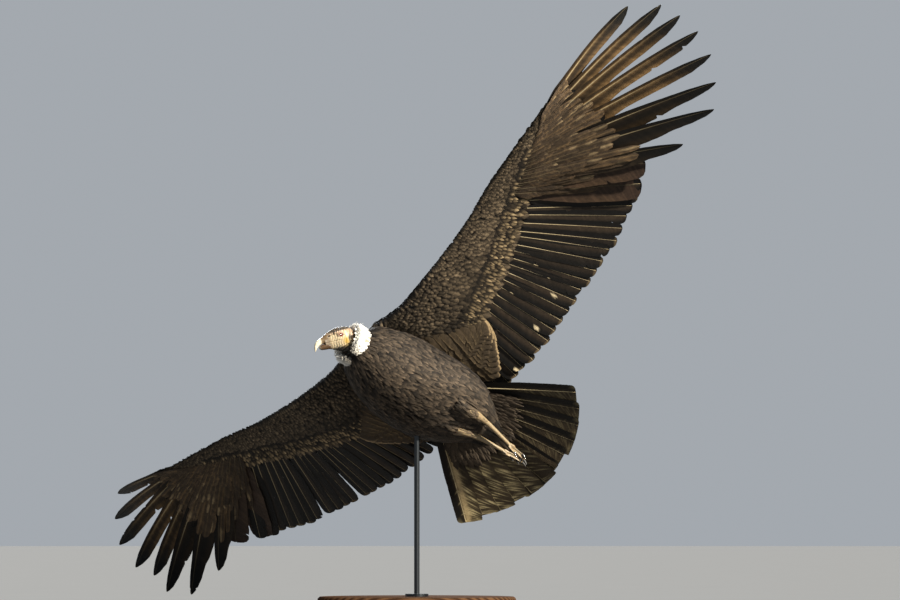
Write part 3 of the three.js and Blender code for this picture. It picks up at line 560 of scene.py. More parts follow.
# Tufts that close over the joint of each leg, so that only the bare shank shows.
def thighTufts():
    coat = newCoat()
    count = legs["tuftsAround"]
    for side in ("left", "right"):
        hip, ankle = np.array(legs[side], float)
        along = unit(ankle - hip)
        across = unit(np.cross(along, [0, 0, 1.0]))
        other = np.cross(across, along)
        for row in range(legs["tuftRows"]):
            at = mix(legs["tuftFrom"], legs["tuftTo"], row / (legs["tuftRows"] - 1))
            angle = roundTurn(count) + 0.17 * (row % 2)
            outward = across * np.cos(angle)[:, None] + other * np.sin(angle)[:, None]
            radius = mix(26, 9, smooth((at + 0.5) * 1.1))
            root = hip + (ankle - hip) * at + outward * (radius - 5)
            length = random.uniform(30, 62, count)[:, None]
            tip = root + along * length + outward * (2 - 0.16 * length) + random.normal(0, 4, (count, 3))
            f = vanes(
                root, tip, outward * 6, outward, random.uniform(6, 11, count), "plume", 6, 5,
                camber=0.04, split=0.3, frayed=0.15,
            )
            tone = (1 + random.normal(0, 0.16, count))[:, None, None, None] * (0.8 + 0.6 * f["glint"])
            shade = mix(body["dark"], legs["tuft"], smooth(f["t"] * 1.2)) * tone
            addFeathers(coat, f, shade, 0.1 + angle / 8, 0.5 + 0.4 * at)
    return coat


# The trunk's skin under its coat, as an egg of rings.
def bodyForm():
    return bodySurface(np.linspace(0, 1, 60)[:, None], roundTurn(72)[None], -body["coatDepth"])


# A row of coverts is (how far short of the band's end, spacing, length, height over the wing).
wing = {
    "rootY": 62, "armEndY": 770, "handEndY": 905,
    "leadingEdge": [
        [20, 62, 2], [9, 105, 4], [5, 160, 0], [8, 225, 3], [16, 320, 10],
        [28, 490, 52], [52, 625, 86], [66, 773, 124], [74, 915, 166],
    ],
    "trailingEdge": [
        [-420, 120, 12], [-412, 240, 6], [-400, 400, 28], [-374, 579, 62],
        [-349, 710, 86], [-310, 850, 118], [-250, 985, 122],
    ],
    "coreShare": (0.52, 0.3), "coreThick": (58, 15), "skinDepth": 3,
    "profileAt": [0, 0.04, 0.16, 0.42, 0.75, 1, 1.25],
    "profileOver": [0, 0.26, 0.5, 0.5, 0.34, 0.2, 0.06],
    "profileUnder": [0, 0.24, 0.42, 0.4, 0.3, 0.2, 0.06],
    "slantAt": [60, 400, 600, 760, 905], "slant": [-8, 8, 28, 52, 76],
    "armUp": np.array([[0, -0.14, 1.0]]), "handUp": np.array([[0.02, -0.2, 1.0]]),
    "secondaries": 22, "innerShare": 0.0, "outerShare": 0.9, "innerLength": 270, "outerLength": 330,
    "innerSlant": -14, "outerSlant": 43, "secondaryWidth": 53,
    "rightPartings": (503, 667), "leftNicks": [[-322, 476], [-352, 364], [-398, 217]],
    "leftTips": [
        [-290, 902, 122], [-246, 970, 116], [-279, 1095, 109], [-270, 1238, 120], [-224, 1298, 144],
        [-175, 1331, 199], [-109, 1350, 228], [-50, 1339, 262], [-6, 1306, 309], [52, 1228, 331],
    ],
    "rightTips": [
        [-286, 900, 126], [-240, 966, 120], [-268, 1094, 116], [-267, 1237, 123], [-215, 1301, 149],
        [-170, 1322, 209], [-115, 1349, 228], [-38, 1340, 268], [15, 1303, 319], [62, 1226, 337],
    ],
    "innerRoot": (-22, 655, 92), "outerRoot": (56, 872, 152), "bowAhead": (14, 40), "bowDown": (4, 26),
    "broadWidth": 84, "fingerWidth": 62, "fingerTilt": 4, "fingerTwist": -11,
    "fingerGlow": [0.1, 0.14, 0.1, 0.1, 0.2, 0.9, 1.0, 1.0, 0.9, 0.75],
    "smallRows": 19, "smallFront": (17, 8), "smallUnder": (46, 15), "smallUpper": (62, 18),
    "bandAt": [62, 288, 563, 742, 905], "bandEnd": [0.6, 0.55, 0.375, 0.28, 0.22],
    "bandRows": ((46, 9, 44, 2.4), (32, 9, 44, 2.7), (17, 10, 44, 3.0), (2, 11, 46, 3.3)),
    "bandLight": (0.7, 1.0, 1.0, 1.0),
    "upperRows": ((28, 25, 100, 5), (0, 31, 148, 7)),
    "handCovertEnds": [
        [-205, 800, 96], [-200, 900, 110], [-189, 998, 118], [-122, 1016, 130],
        [-75, 1023, 140], [-29, 1011, 150], [14, 1008, 165], [71, 995, 190],
    ],
    "handRows": ((21, 1.0, 6), (23, 0.8, 8), (22, 0.6, 10), (20, 0.42, 11), (18, 0.26, 12)),
    "axillaryRoots": [[-50, 96, 0], [-80, 150, 0], [-130, 225, 0], [-195, 292, 0]],
    "axillaryTips": [[-280, 108, 0], [-348, 124, 0], [-378, 158, 0], [-342, 200, 0], [-286, 246, 0]],
    "axillaryLayers": ((13, 1.0), (13, 0.8), (12, 0.6)),
    **paints(
        black="#0e0d0c", brown="#2c241c", gold="#7d6240", silver="#a8a69f", panel="#c9c7c0",
        shaft="#a39474", covert="#574b3b", covertRoot="#17130f", bandPale="#a38d6b", rosy="#2c211a",
        nick="#b8a98a", axillary="#3c3225", axillaryRim="#8a7658",
    ),
}
leading = curveThrough(wing["leadingEdge"])
trailing = curveThrough(wing["trailingEdge"])


def wingEdge(curve, y):
    x, z = (np.interp(y, curve[:, 1], curve[:, k]) for k in (0, 2))
    return grid(x, y, z)


# How far back the flesh of the wing reaches, as a share of the chord.
def coreShare(y):
    return mix(*wing["coreShare"], np.clip((y - wing["rootY"]) / (wing["handEndY"] - wing["rootY"]), 0, 1))


def coreThick(y):
    thick = mix(*wing["coreThick"], smooth((y - wing["rootY"]) / (0.62 * wing["handEndY"])))
    return thick * smooth((wing["handEndY"] - y) / 60 + 0.35)


# The height of the wing's upper (face 1) or under surface (face -1) over a point of its plan.
def wingHeight(x, y, face, grow=0):
    front = wingEdge(leading, np.minimum(y, wing["handEndY"]))
    rear = wingEdge(trailing, np.minimum(y, 980))
    share = (front[..., 0] - x) / (front[..., 0] - rear[..., 0])
    middle = mix(front[..., 2], rear[..., 2], share)
    profile = wing["profileOver" if face > 0 else "profileUnder"]
    return middle + face * (np.interp(share / coreShare(y), wing["profileAt"], profile) * coreThick(y) + grow)


# The arm's skin, narrower than the flesh towards the hand.
def wingForm(mirror):
    y = np.linspace(wing["rootY"] - 50, wing["handEndY"] - 4, 70)[:, None]
    at = np.linspace(0, 1, 22)[None] ** 1.5
    narrow = mix(1, 0.74, smooth((y - 250) / 350))
    front = wingEdge(leading, y)[..., 0]
    rear = wingEdge(trailing, y)[..., 0]
    rings = []
    for face, order in ((1, at[:, ::-1]), (-1, at)):
        x = mix(front, rear, order * (coreShare(y) * narrow)) - wing["skinDepth"] * (1 - order)
        rings.append(grid(x, y, wingHeight(x, y, face, -wing["skinDepth"] * (order > 0))))
    points = np.concatenate(rings, axis=1)
    return points * np.array([1, -1, 1]) if mirror else points


def secondaries(coat, mirror):
    count = wing["secondaries"]
    share = np.linspace(0, 1, count)
    tipAt = mix(wing["innerShare"], wing["outerShare"], share) + random.normal(0, 0.0015, count)
    tip = readLine(tipAt, np.linspace(0, 1, 400), trailing)
    tip[:, 0] += random.normal(0, 3, count)
    for y in wing["rightPartings"] if mirror else ():
        away = tip[:, 1] - y
        tip[:, 1] += np.sign(away) * 11 * np.exp(-np.abs(away) / 40)
    slant = np.radians(mix(wing["innerSlant"], wing["outerSlant"], smooth(share) * 0.5 + share * 0.5))
    length = mix(wing["innerLength"], wing["outerLength"], share)[:, None]
    root = tip + grid(np.cos(slant), -np.sin(slant), 0) * length
    rootY = np.maximum(root[:, 1], wing["rootY"])
    rootX = mix(wingEdge(leading, rootY)[:, 0], wingEdge(trailing, rootY)[:, 0], coreShare(rootY) * 0.8)
    root[:, 2] = wingHeight(rootX, rootY, 1) * 0.5 + wingHeight(rootX, rootY, -1) * 0.5
    f = vanes(
        root, tip, np.array([[0, 0, 4.0]]), wing["armUp"], wing["secondaryWidth"], "round", 44, 13,
        tilt=4.2, camber=0.02, lean=0.8, split=0.03, frayed=0.01,
    )
    s, t = f["s"], f["t"]
    tone = perFeather(0.85, 1.2, count) * (0.85 + 0.4 * f["glint"])
    # a brown band beside the shaft, black on both sides of it, and some tips paler from painted light on
    # their lit edge
    band = smooth((s + 0.8) * 1.7) * (1 - smooth((s - 0.02) / 0.2)) * perFeather(0.2, 1.0, count)
    paintedTipLight = smooth((t - 0.965) / 0.025) * (perFeather(0, 1, count) < 0.5)
    lower = mix(mix(wing["black"], wing["brown"], band), wing["bandPale"], paintedTipLight * 0.2) * tone
    for x, y in () if mirror else wing["leftNicks"]:
        spot = np.exp(-(((f["points"][..., 0] - x) / 11) ** 2) - ((f["points"][..., 1] - y) / 5) ** 2)
        lower = mix(lower, wing["nick"], smooth(spot * 3 - 0.9)[..., None])
    upper = mix(wing["black"], wing["silver"], smooth((s + 0.25) * 3) * (1 - smooth((t - 0.74) / 0.1))) * tone
    bake = bakePatch(f, 0.02 + share * 0.9, 0.3, 0.03)
    addPlates(coat, f, upper, lower, bake, 1.0)
    addShafts(coat, f, 1.6, wing["shaft"] * 0.85, bake)


# The middle line of the primary at a share of the hand, as root, tip and bow.
def primaryAt(tips, share):
    tip = readLine(share, np.linspace(0, 1, len(tips)), np.array(tips, float))
    root = mix(np.array(wing["innerRoot"]), np.array(wing["outerRoot"]), share[:, None])
    return root, tip, grid(mix(*wing["bowAhead"], share), 0, -mix(*wing["bowDown"], share))


def primaries(coat, tips):
    share = np.linspace(0, 1, len(tips))
    root, tip, bow = primaryAt(tips, share)
    fingers = ((2, 5, "inner finger"), (5, 8, "finger"), (8, 10, "outer finger"))
    for first, last, form in ((0, 2, "round"), *fingers):
        broad = form == "round"
        part = slice(first, last)
        f = vanes(
            root[part], tip[part], bow[part], wing["handUp"], wing["broadWidth" if broad else "fingerWidth"],
            form, 64, 13, tilt=wing["fingerTilt"], tipTilt=wing["fingerTilt" if broad else "fingerTwist"],
            camber=0.03, lean=0.8, split=0.012, frayed=0.006,
        )
        s, t = f["s"], f["t"]
        # gold beside the shaft and on the trailing rim, partly the feathers' own colour and partly painted
        # sheen, black ahead and at the tip
        glow = np.array(wing["fingerGlow"])[part, None, None, None]
        shine = np.exp(-(((s - 0.08) / 0.17) ** 2)) * 0.95 + 0.5 * smooth((-s - 0.45) / 0.4) + 0.14
        shine = shine * smooth(t * 3 - 0.3) * (1 - smooth((t - 0.6) / 0.32)) * glow
        tone = perFeather(0.85, 1.15, last - first) * (0.75 + 0.6 * f["glint"])
        lower = mix(wing["rosy" if broad else "black"], wing["gold"], np.clip(shine, 0, 1)) * tone
        upper = mix(wing["black"], wing["brown"], 0.3 * smooth(0.3 - s)) * tone
        bake = bakePatch(f, 0.02 + share[part] * 0.9, 0.6, 0.03)
        addPlates(coat, f, upper, lower, bake, 1.2)
        fading = 1 - 0.82 * smooth((f["along"][::2] - 0.38) / 0.4)
        addShafts(coat, f, 2.4, wing["shaft"] * fading[None, :, None, None], bake)


def flightFeathers(mirror, tips):
    coat = newCoat()
    secondaries(coat, mirror)
    primaries(coat, tips)
    return mirrored(coat, mirror)


# Where the coverts of one row stand across the wing, how they slant, and the chord there.
def covertPlaces(first, last, spacing, jitter, sway):
    y = np.arange(first, last, spacing)
    y = y + random.normal(0, spacing * jitter, len(y))
    slant = np.radians(np.interp(y, wing["slantAt"], wing["slant"])) + random.normal(0, sway, len(y))
    return y, slant, wingEdge(leading, y)[:, 0] - wingEdge(trailing, y)[:, 0]


# Coverts rooted behind the leading edge, which follow the wing's own surface to their tips.
def covertVanes(face, y, behind, sink, reach, slant, grow, width, form, size):
    root = wingEdge(leading, y)
    root[:, 0] -= behind
    root[:, 2] = wingHeight(root[:, 0], y, face, sink)
    far = root + grid(-np.cos(slant), np.sin(slant), 0) * reach[:, None]
    far[:, 2] = wingHeight(far[:, 0], far[:, 1], face, grow) + random.normal(0, 0.4, len(y))
    middle = (root + far) / 2
    bow = np.zeros_like(root)
    bow[:, 2] = 2 * (wingHeight(middle[:, 0], middle[:, 1], face, grow * 0.8) - middle[:, 2])
    width = width * random.uniform(0.8, 1.15, len(y))
    return vanes(
        root, far, bow, wing["armUp"], width, form, *size,
        tilt=4, camber=0.012 * face, split=0.2, frayed=0.06,
    )


# Small coverts from the leading edge back, each row longer than the one before it.
def smallCoverts(coat, face):
    under = face < 0
    shortest, closest = wing["smallFront"]
    longest, widest = wing["smallUnder" if under else "smallUpper"]
    for at in np.linspace(0, 1, wing["smallRows"]):
        length = mix(shortest, longest, smooth(at))
        spacing = mix(closest, widest, smooth(at))
        y, slant, chord = covertPlaces(wing["rootY"], wing["handEndY"] - 2, spacing, 0.2, 0.12)
        slant += 0.36 * smooth(at * 2) * (1 - smooth((y - 560) / 160)) if under else 0
        inset = at * (np.interp(y, wing["bandAt"], wing["bandEnd"]) - 0.1 if under else coreShare(y) * 0.8)
        inset = np.maximum(inset + random.normal(0, 0.006, len(y)), 0.002)
        f = covertVanes(
            face, y, inset * chord, -2.5 * smooth(at * 8), length * random.uniform(0.8, 1.15, len(y)), slant,
            mix(0.6, 2.0, at), spacing * 1.8, "plume", (6, 5),
        )
        rough = (1 + 0.22 * cloud(f["line"][:, 0], 40) + random.normal(0, 0.2, len(y)))[:, None, None, None]
        base = wing["black"] * 1.4
        if under:
            # barred by pale middles, with a painted shadow as a darker belt ahead of the pale band
            paintedShadowBelt = 1 - 0.75 * np.exp(-(((at - 0.72) / 0.14) ** 2))
            pale = smooth((f["t"] - 0.1) * 1.5) * (1 - 0.85 * np.abs(f["s"])) * perFeather(0.5, 1.25, len(y))
            base = mix(wing["covertRoot"], wing["covert"] * 1.25 * paintedShadowBelt, pale)
        shade = base * (np.clip(rough, 0.35, 1.8) * (0.75 + 0.6 * f["glint"]))
        patch = 0.02 + 0.46 * np.clip(inset, 0, 1) + (0 if under else 0.5)
        addFeathers(coat, f, shade, np.clip(y / 1000, 0, 0.99), patch)


# The last rows ahead of the flight feathers: a pale-tipped band below, a black and a silver row above.
def greaterCoverts(coat, face):
    under = face < 0
    last = wing["armEndY"] if under else wing["handEndY"] - 30
    form, size, wide = ("plume", (9, 7), 1.6) if under else ("round", (18, 9), 1.75)
    for row, (short, spacing, length, grow) in enumerate(wing["bandRows" if under else "upperRows"]):
        y, slant, chord = covertPlaces(wing["rootY"] + 24, last, spacing, 0.16, 0.05)
        end = np.interp(y, wing["bandAt"], wing["bandEnd"]) if under else coreShare(y) * 0.8 + length / chord
        f = covertVanes(
            face, y, end * chord - (short + length), -1, length * random.uniform(0.8, 1.14, len(y)), slant,
            grow, spacing * wide, form, size,
        )
        s, t = f["s"], f["t"]
        tone = perFeather(0.7, 1.25, len(y)) * (0.8 + 0.4 * f["glint"])
        base = wing["black"] * 1.3
        if under:
            pale = smooth((t - 0.5) / 0.3) * (1 - 0.9 * s * s) * perFeather(0, 1.0, len(y))
            base = mix(wing["covertRoot"], wing["bandPale"], pale * wing["bandLight"][row])
        elif row > 0:
            # silver over the secondaries only, darker at the root, and darker along each edge as painted
            # shade between the coverts
            onArm = smooth((wing["armEndY"] - y) / 60)[:, None, None, None]
            base = mix(base, wing["panel"], onArm * smooth((t - 0.12) / 0.35) * (1 - 0.55 * s**4))
            tone = 0.8 + 0.2 * tone
        patch = 0.4 + 0.04 * row + (0 if under else 0.5)
        bake = addFeathers(coat, f, base * tone, np.clip(y / 1000, 0, 0.99), patch)
        if not under:
            addShafts(coat, f, 0.8, wing["shaft"], bake)


# The long coverts of the hand lie along the primaries and end on one arc.
def handCoverts(coat, face, tips):
    steps = 80
    ends = curveThrough(wing["handCovertEnds"])[::4, :2]
    for count, part, lift in wing["handRows"]:
        share = np.clip((np.arange(count) + 0.5) / count * 1.04 - 0.02 + random.normal(0, 0.008, count), 0, 1)
        root, tip, bow = primaryAt(tips, share)
        control = (root + tip) / 2 + bow
        t = np.linspace(0, 1, steps)[None, :, None]
        line = bent(root[:, None], control[:, None], tip[:, None], t)
        gap = np.linalg.norm(line[:, :, None, :2] - ends[None, None], axis=-1).min(axis=2)
        stop = np.argmin(gap, axis=1) / (steps - 1)
        stop = (stop * part * random.uniform(0.84, 1.05, count))[:, None]
        far = bent(root, control, tip, stop)
        middle = bent(root, control, tip, stop / 2)
        raised = np.array([0, 0, face * lift])
        f = vanes(
            root + raised * 0.8, far + raised * 0.8, 2 * (middle - (root + far) / 2) + raised * 0.4,
            wing["handUp"], random.uniform(21, 31, count), "round", 20, 9,
            tilt=3, camber=0.02 * face, lean=0.8, split=0.06, frayed=0.03,
        )
        s, t = f["s"], f["t"]
        streak = 0.55 * np.exp(-(((s - 0.05) / 0.2) ** 2)) + 0.3 * smooth((-s - 0.5) / 0.3)
        streak = streak + 0.15 * f["glint"]
        dash = smooth((t - 0.8) / 0.08) * np.exp(-((s / 0.3) ** 2)) * (perFeather(0, 1, count) < 0.5)
        light = mix(0.25, 1.0, smooth(share * 2.6))[:, None, None, None]
        gilt = np.clip(streak * perFeather(0.3, 1, count), 0, 1)
        base = mix(wing["brown"] * mix(0.7, 1.9, light), wing["gold"] * light * 1.2, gilt)
        base = mix(base, wing["bandPale"], dash * 0.7) if face < 0 else wing["black"] * 1.3
        tone = perFeather(0.75, 1.2, count) * (0.8 + 0.5 * f["glint"])
        bake = addFeathers(coat, f, base * tone, 0.6 + share * 0.39, 0.45 + 0.02 * lift / 6)
        addShafts(coat, f, 0.7, wing["shaft"] * (0.3 if face < 0 else 0.1), bake)


# Long soft feathers fanning back from the armpit over the innermost secondaries.
def axillaries(coat):
    every = np.linspace(0, 1, 100)
    for layer, (count, part) in enumerate(wing["axillaryLayers"]):
        share = np.linspace(0, 1, count) + random.normal(0, 0.01, count)
        keys = ("axillaryRoots", "axillaryTips")
        root, tip = (readLine(share, every, curveThrough(wing[key], 100)) for key in keys)
        tip = root + (tip - root) * part
        grow = 5 + 2.5 * layer
        middle = (root + tip) / 2 + np.array([-6, 16, 0])
        for points, height in ((root, -3), (tip, grow + 2), (middle, grow)):
            points[:, 2] = wingHeight(points[:, 0], np.maximum(points[:, 1], 80), -1, height)
        f = vanes(
            root, tip, middle - (root + tip) / 2, wing["armUp"], random.uniform(36, 46, count),
            "round", 26, 9, tilt=5, camber=-0.05, lean=0.9, split=0.1, frayed=0.03,
        )
        rim = smooth((f["s"] - 0.5) / 0.3) + 0.4 * smooth((-f["s"] - 0.7) / 0.2)
        tone = perFeather(0.85, 1.15, count) * (0.8 + 0.4 * f["glint"])
        shade = mix(wing["axillary"], wing["axillaryRim"], np.clip(rim, 0, 1)) * tone
        addFeathers(coat, f, shade, 0.1 + share * 0.2, 0.9 + 0.02 * layer)


def wingCoverts(face, mirror, tips):
    coat = newCoat()
    smallCoverts(coat, face)
    greaterCoverts(coat, face)
    handCoverts(coat, face, tips)
    if face < 0:
        axillaries(coat)
    return mirrored(coat, mirror)


tail = {
    "count": 12, "apex": (-223, -3, -2), "yaw": 5.6, "roll": 2.9, "droop": 11.8,
    "rootRadius": 138, "tipRadius": 470, "halfSpread": 38.5, "width": 82, "camber": 8,
    "coreStart": 110, "coreEnd": 268, "coreSpread": 35,
    "coreAt": [0, 0.33, 0.67, 1], "coreHalfThick": [24, 22, 13, 3],
    "covertRows": 13, "covertsAcross": 27,
    **paints(bronze="#a89a74", stripe="#a3906b", dark="#12100e", olive="#332b20"),
}
tailTurn = turnAbout("y", -tail["droop"]) @ turnAbout("x", tail["roll"]) @ turnAbout("z", -tail["yaw"])


def tailPoint(radius, angle, height):
    turned = np.radians(angle)
    flat = grid(-np.cos(turned) * radius, np.sin(turned) * radius, height)
    return flat @ tailTurn.T + np.array(tail["apex"])


def tailFeathers():
    coat = newCoat()
    rows = 76
    every = np.linspace(-1, 1, tail["count"])
    for side in (1, -1):
        share = every[every * side > 0]
        count = len(share)
        stack = -np.abs(share) * 9
        radius = tail["tipRadius"] - 2 - 5 * share**2 + random.normal(0, 5, count)
        root = tailPoint(tail["rootRadius"], share * tail["halfSpread"] * 0.92, stack * 0.5)
        tip = tailPoint(radius, share * tail["halfSpread"], -tail["camber"] * share**2 + stack)
        f = vanes(
            root, tip, np.array([[0, 0, 5.0]]), np.array([[0, 0, 1.0]]), tail["width"], "square", rows, 15,
            side=side, tilt=3.4, camber=0.02, lean=1.1, frayed=0.01,
        )
        s, t = f["s"], f["t"]
        # the right half is painted as if it catches the sun: painted sunlight on its olive vanes, and cream
        # barbs in slanting streaks of painted sheen; the outermost feather's stripe shows on that half only
        sunny = smooth(0.25 - share)[:, None, None, None]
        inner = smooth((0.5 - s) * 1.6) * smooth(t * 2.5 - 0.4)
        centre = random.uniform(-0.85, 0.05, (count, rows, 1, 1))
        streak = smooth((f["glint"] - 0.12) / 0.3) * np.exp(-(((s - centre) / 0.24) ** 2))
        streak = streak * smooth((t - 0.3) * 3)
        outermost = (np.abs(share) > 0.99)[:, None, None, None]
        rim = smooth((t - 0.9) / 0.08) * smooth((np.abs(s) - 0.3) / 0.4) * perFeather(0.1, 0.7, count)
        lower = mix(tail["dark"], tail["olive"], inner * (0.9 + 0.1 * sunny))
        # painted sheen: bronze streaks along the barbs, strongest on the painted sunlit half, and pale rims
        # at the tips
        lower = mix(lower, tail["bronze"], np.clip(streak * (0.2 + 0.8 * sunny) + 0.45 * rim, 0, 1))
        stripe = np.exp(-(((s + 0.2) / 0.16) ** 2)) * smooth((t - 0.2) * 4) * outermost * sunny
        lower = mix(lower, tail["stripe"], np.clip(stripe, 0, 1)) * perFeather(0.85, 1.15, count)
        upper = wing["black"] * (0.8 + 0.6 * f["glint"])
        bake = bakePatch(f, 0.02 + (share + 1) * 0.45, 0.4, 0.03)
        addPlates(coat, f, upper, lower, bake, 1.0, side)
        shaft = wing["shaft"] * mix(0.6, 1.3, outermost)
        addShafts(coat, f, mix(1.5, 2.4, outermost[..., 0, 0]), shaft, bake)
    return coat


# The fleshy root of the tail.
def tailForm():
    spread = roundTurn(40)
    rings = []
    for at in np.arange(16) / 15:
        thick = np.interp(at, tail["coreAt"], tail["coreHalfThick"]) - 1
        radius = mix(tail["coreStart"] - 40, tail["coreEnd"] - 12, at)
        height = np.sin(spread) * thick * (1 - 0.5 * np.abs(np.cos(spread))) - 2
        rings.append(tailPoint(radius, np.cos(spread) * (tail["coreSpread"] - 1), height))
    return np.stack(rings)


# The soft coverts that close over the tail's root, above and below.
def tailCoverts():
    coat = newCoat()
    count = tail["covertsAcross"]
    for face in (-1, 1):
        for row in range(tail["covertRows"]):
            at = row / (tail["covertRows"] - 1)
            radius = mix(tail["coreStart"] + 2, tail["coreEnd"] - 40, at)
            angle = np.linspace(-1, 1, count) * mix(34, 32, at) + random.normal(0, 0.9, count)
            length = mix(50, 84, smooth(at)) * random.uniform(0.8, 1.15, count)
            length = length * (1 - 0.25 * (angle / 34) ** 2)
            thick = np.interp(at * 0.7, tail["coreAt"], tail["coreHalfThick"])
            root = tailPoint(radius, angle * 0.95, face * thick * 0.6 - 2)
            height = face * mix(thick, 13, at) - 5 * (angle / 31) ** 2 + random.normal(0, 0.8, count)
            tip = tailPoint(radius + length, angle, height)
            f = vanes(
                root, tip, np.array([[0, 0, face * 5.0]]), np.array([[0, 0, 1.0]]),
                mix(15, 24, at) * random.uniform(0.8, 1.15, count), "plume", 9, 7,
                camber=0.06 * face, split=0.3, frayed=0.08,
            )
            tone = perFeather(0.65, 1.35, count) * (0.8 + 0.5 * f["glint"])
            base = mix(body["dark"], body["pale"], smooth(f["t"]) * 0.7) if face < 0 else wing["black"]
            addFeathers(coat, f, base * tone, 0.5 + angle / 80, 0.1 + 0.3 * at + (0.4 if face > 0 else 0))
    return coat


head = {
    "centre": (88, 0, -52), "turn": -40.4, "pitch": -27.9, "roll": -47.3,
    "stations": [-44, -40, -32, -20, -6, 8, 20, 30, 38, 47],
    "crown": [0, 12, 19, 24, 26.5, 26, 23.5, 20, 16.8, 13.2],
    "jaw": [-22, -36, -44, -47, -46, -42, -36, -31.5, -28.5, -27.5],
    "halfWidth": [9, 19, 26, 30, 29.5, 25, 18.5, 14, 12, 11],
    "eye": (-1, 20.6, 1.5), "eyeRadius": 8.2,
    **paints(
        pink="#917a64", cream="#a39478", crownTint="#211913", throat="#120e0c", yellow="#94772f",
        cere="#4a3d30", ear="#0d0a09", nostril="#080606", lid="#7a6450",
        irisDark="#4a120e", irisPale="#6b241a", eyeRim="#1a1210",
    ),
}
headTurn = turnAbout("z", head["turn"]) @ turnAbout("y", -head["pitch"]) @ turnAbout("x", head["roll"])


def fromHead(points):
    return np.asarray(points, float) @ headTurn.T + np.array(head["centre"])


def intoHead(points):
    return (np.asarray(points, float) - np.array(head["centre"])) @ headTurn


ruff = {
    "centre": (38, 2, -54), "innerRadius": 38, "radial": 9.5, "axial": 20, "openHalf": 17,
    "flare": 15, "rearward": 9, "tufts": 5000,
    **paints(white="#e9e7e1", grey="#8e8474"),
}


def ruffPoint(angle, radius, along):
    x, y, z = ruff["centre"]
    return grid(x + along, y + np.sin(angle) * radius, z + np.cos(angle) * radius)


# The ring of down: a rounded section that flares to the rear, over the breast.
def ruffSurface(angle, around, end):
    rear = np.maximum(0, -np.sin(around)) * end
    radius = ruff["innerRadius"] + ruff["radial"] * (1 + np.cos(around) * end) + ruff["flare"] * rear
    return ruffPoint(angle, radius, np.sin(around) * ruff["axial"] * end - ruff["rearward"] * rear)


def ruffDown():
    coat = newCoat()
    rows = 60
    reach = math.pi - math.radians(ruff["openHalf"])
    around = roundTurn(18)[None]
    angle = np.linspace(-reach, reach, rows)[:, None]
    end = np.sin(np.linspace(0.05, math.pi - 0.05, rows))[:, None] ** 0.5
    bake = grid(around / 6.4, np.linspace(0, 1, rows)[:, None])
    # painted shade: the ring under the tufts is grey, as the shade that falls between them
    addGrids(coat, ruffSurface(angle, around, end)[None], ruff["grey"], bake, closed=True)
    many = ruff["tufts"]
    angle = random.uniform(-reach, reach, many)
    around = random.uniform(-2.2, 2.8, many)
    end = np.clip(np.cos(angle / reach * math.pi / 2), 0.03, 1) ** 0.5
    outward = unit(ruffPoint(angle, 1, 0) - ruffPoint(angle, 0, 0))
    forward = np.array([[1.0, 0, 0]])
    root = ruffSurface(angle, around, end * 0.98)
    # each tuft lies along the ring's own surface, from the front face out and over to the rear
    c = np.cos(around)[:, None]
    d = np.sin(around)[:, None]
    normal = unit(outward * c * ruff["axial"] + forward * d * ruff["radial"])
    lie = unit(outward * d * ruff["radial"] - forward * c * ruff["axial"] + random.normal(0, 3.4, (many, 3)))
    full = end[:, None]
    length = random.uniform(10, 18, many)[:, None] * mix(0.5, 1, full) * (1 + 0.5 * c * full)
    tip = root + lie * length + normal * (4.2 - 0.009 * length**2 + random.normal(0, 0.7, (many, 1)))
    f = vanes(
        root, tip, normal * 2.4, normal, random.uniform(4, 7.5, many), "plume", 6, 4,
        camber=0.12, split=0.4, frayed=0.15,
    )
    # painted shade: tufts towards the open ends of the ring, under the throat, are painted greyer
    grey = np.clip((np.abs(angle) - 2.1) * 1.1, 0, 0.9)[:, None]
    tone = mix(ruff["white"], ruff["grey"], grey) * random.uniform(0.94, 1.04, (many, 1))
    addFeathers(coat, f, tone[:, None, None], (angle / reach + 1) * 0.49, (around + 2.2) / 5.1)
    return coat


# A closed form of bare skin from rows of points, with a fan of faces at each end.
def skinForm(points, name):
    rows, columns = points.shape[:2]
    ends = [points[:1].mean(axis=1), points[-1:].mean(axis=1)]
    after = [(c + 1) % columns for c in range(columns)]
    faces = []
    for r in range(rows - 1):
        here, there = r * columns, (r + 1) * columns
        faces += [(here + c, here + n, there + n, there + c) for c, n in enumerate(after)]
    last = (rows - 1) * columns
    for c, n in enumerate(after):
        faces += [(rows * columns, n, c), (rows * columns + 1, last + c, last + n)]
    mesh = bpy.data.meshes.new(name)
    mesh.from_pydata([tuple(p) for p in np.vstack([points.reshape(-1, 3), *ends])], [], faces)
    mesh.update()
    return newPiece(name, mesh)


def eggRows(stations, top, low, half, x, sides, squareness=1, widest=0.52):
    top, low, half = (readSmooth(stations, values, x)[:, None] for values in (top, low, half))
    return eggRing(x[:, None], top, low, half, roundTurn(sides)[None], squareness, widest)


def ellipsoid(centre, radii, name, turnY=0):
    u = np.linspace(0.02, math.pi - 0.02, 24)[:, None]
    v = roundTurn(36)[None]
    a, b, c = radii
    ball = grid(np.cos(u) * a, np.sin(u) * np.cos(v) * b, np.sin(u) * np.sin(v) * c)
    return skinForm(fromHead(ball @ turnAbout("y", turnY).T + np.array(centre)), name)


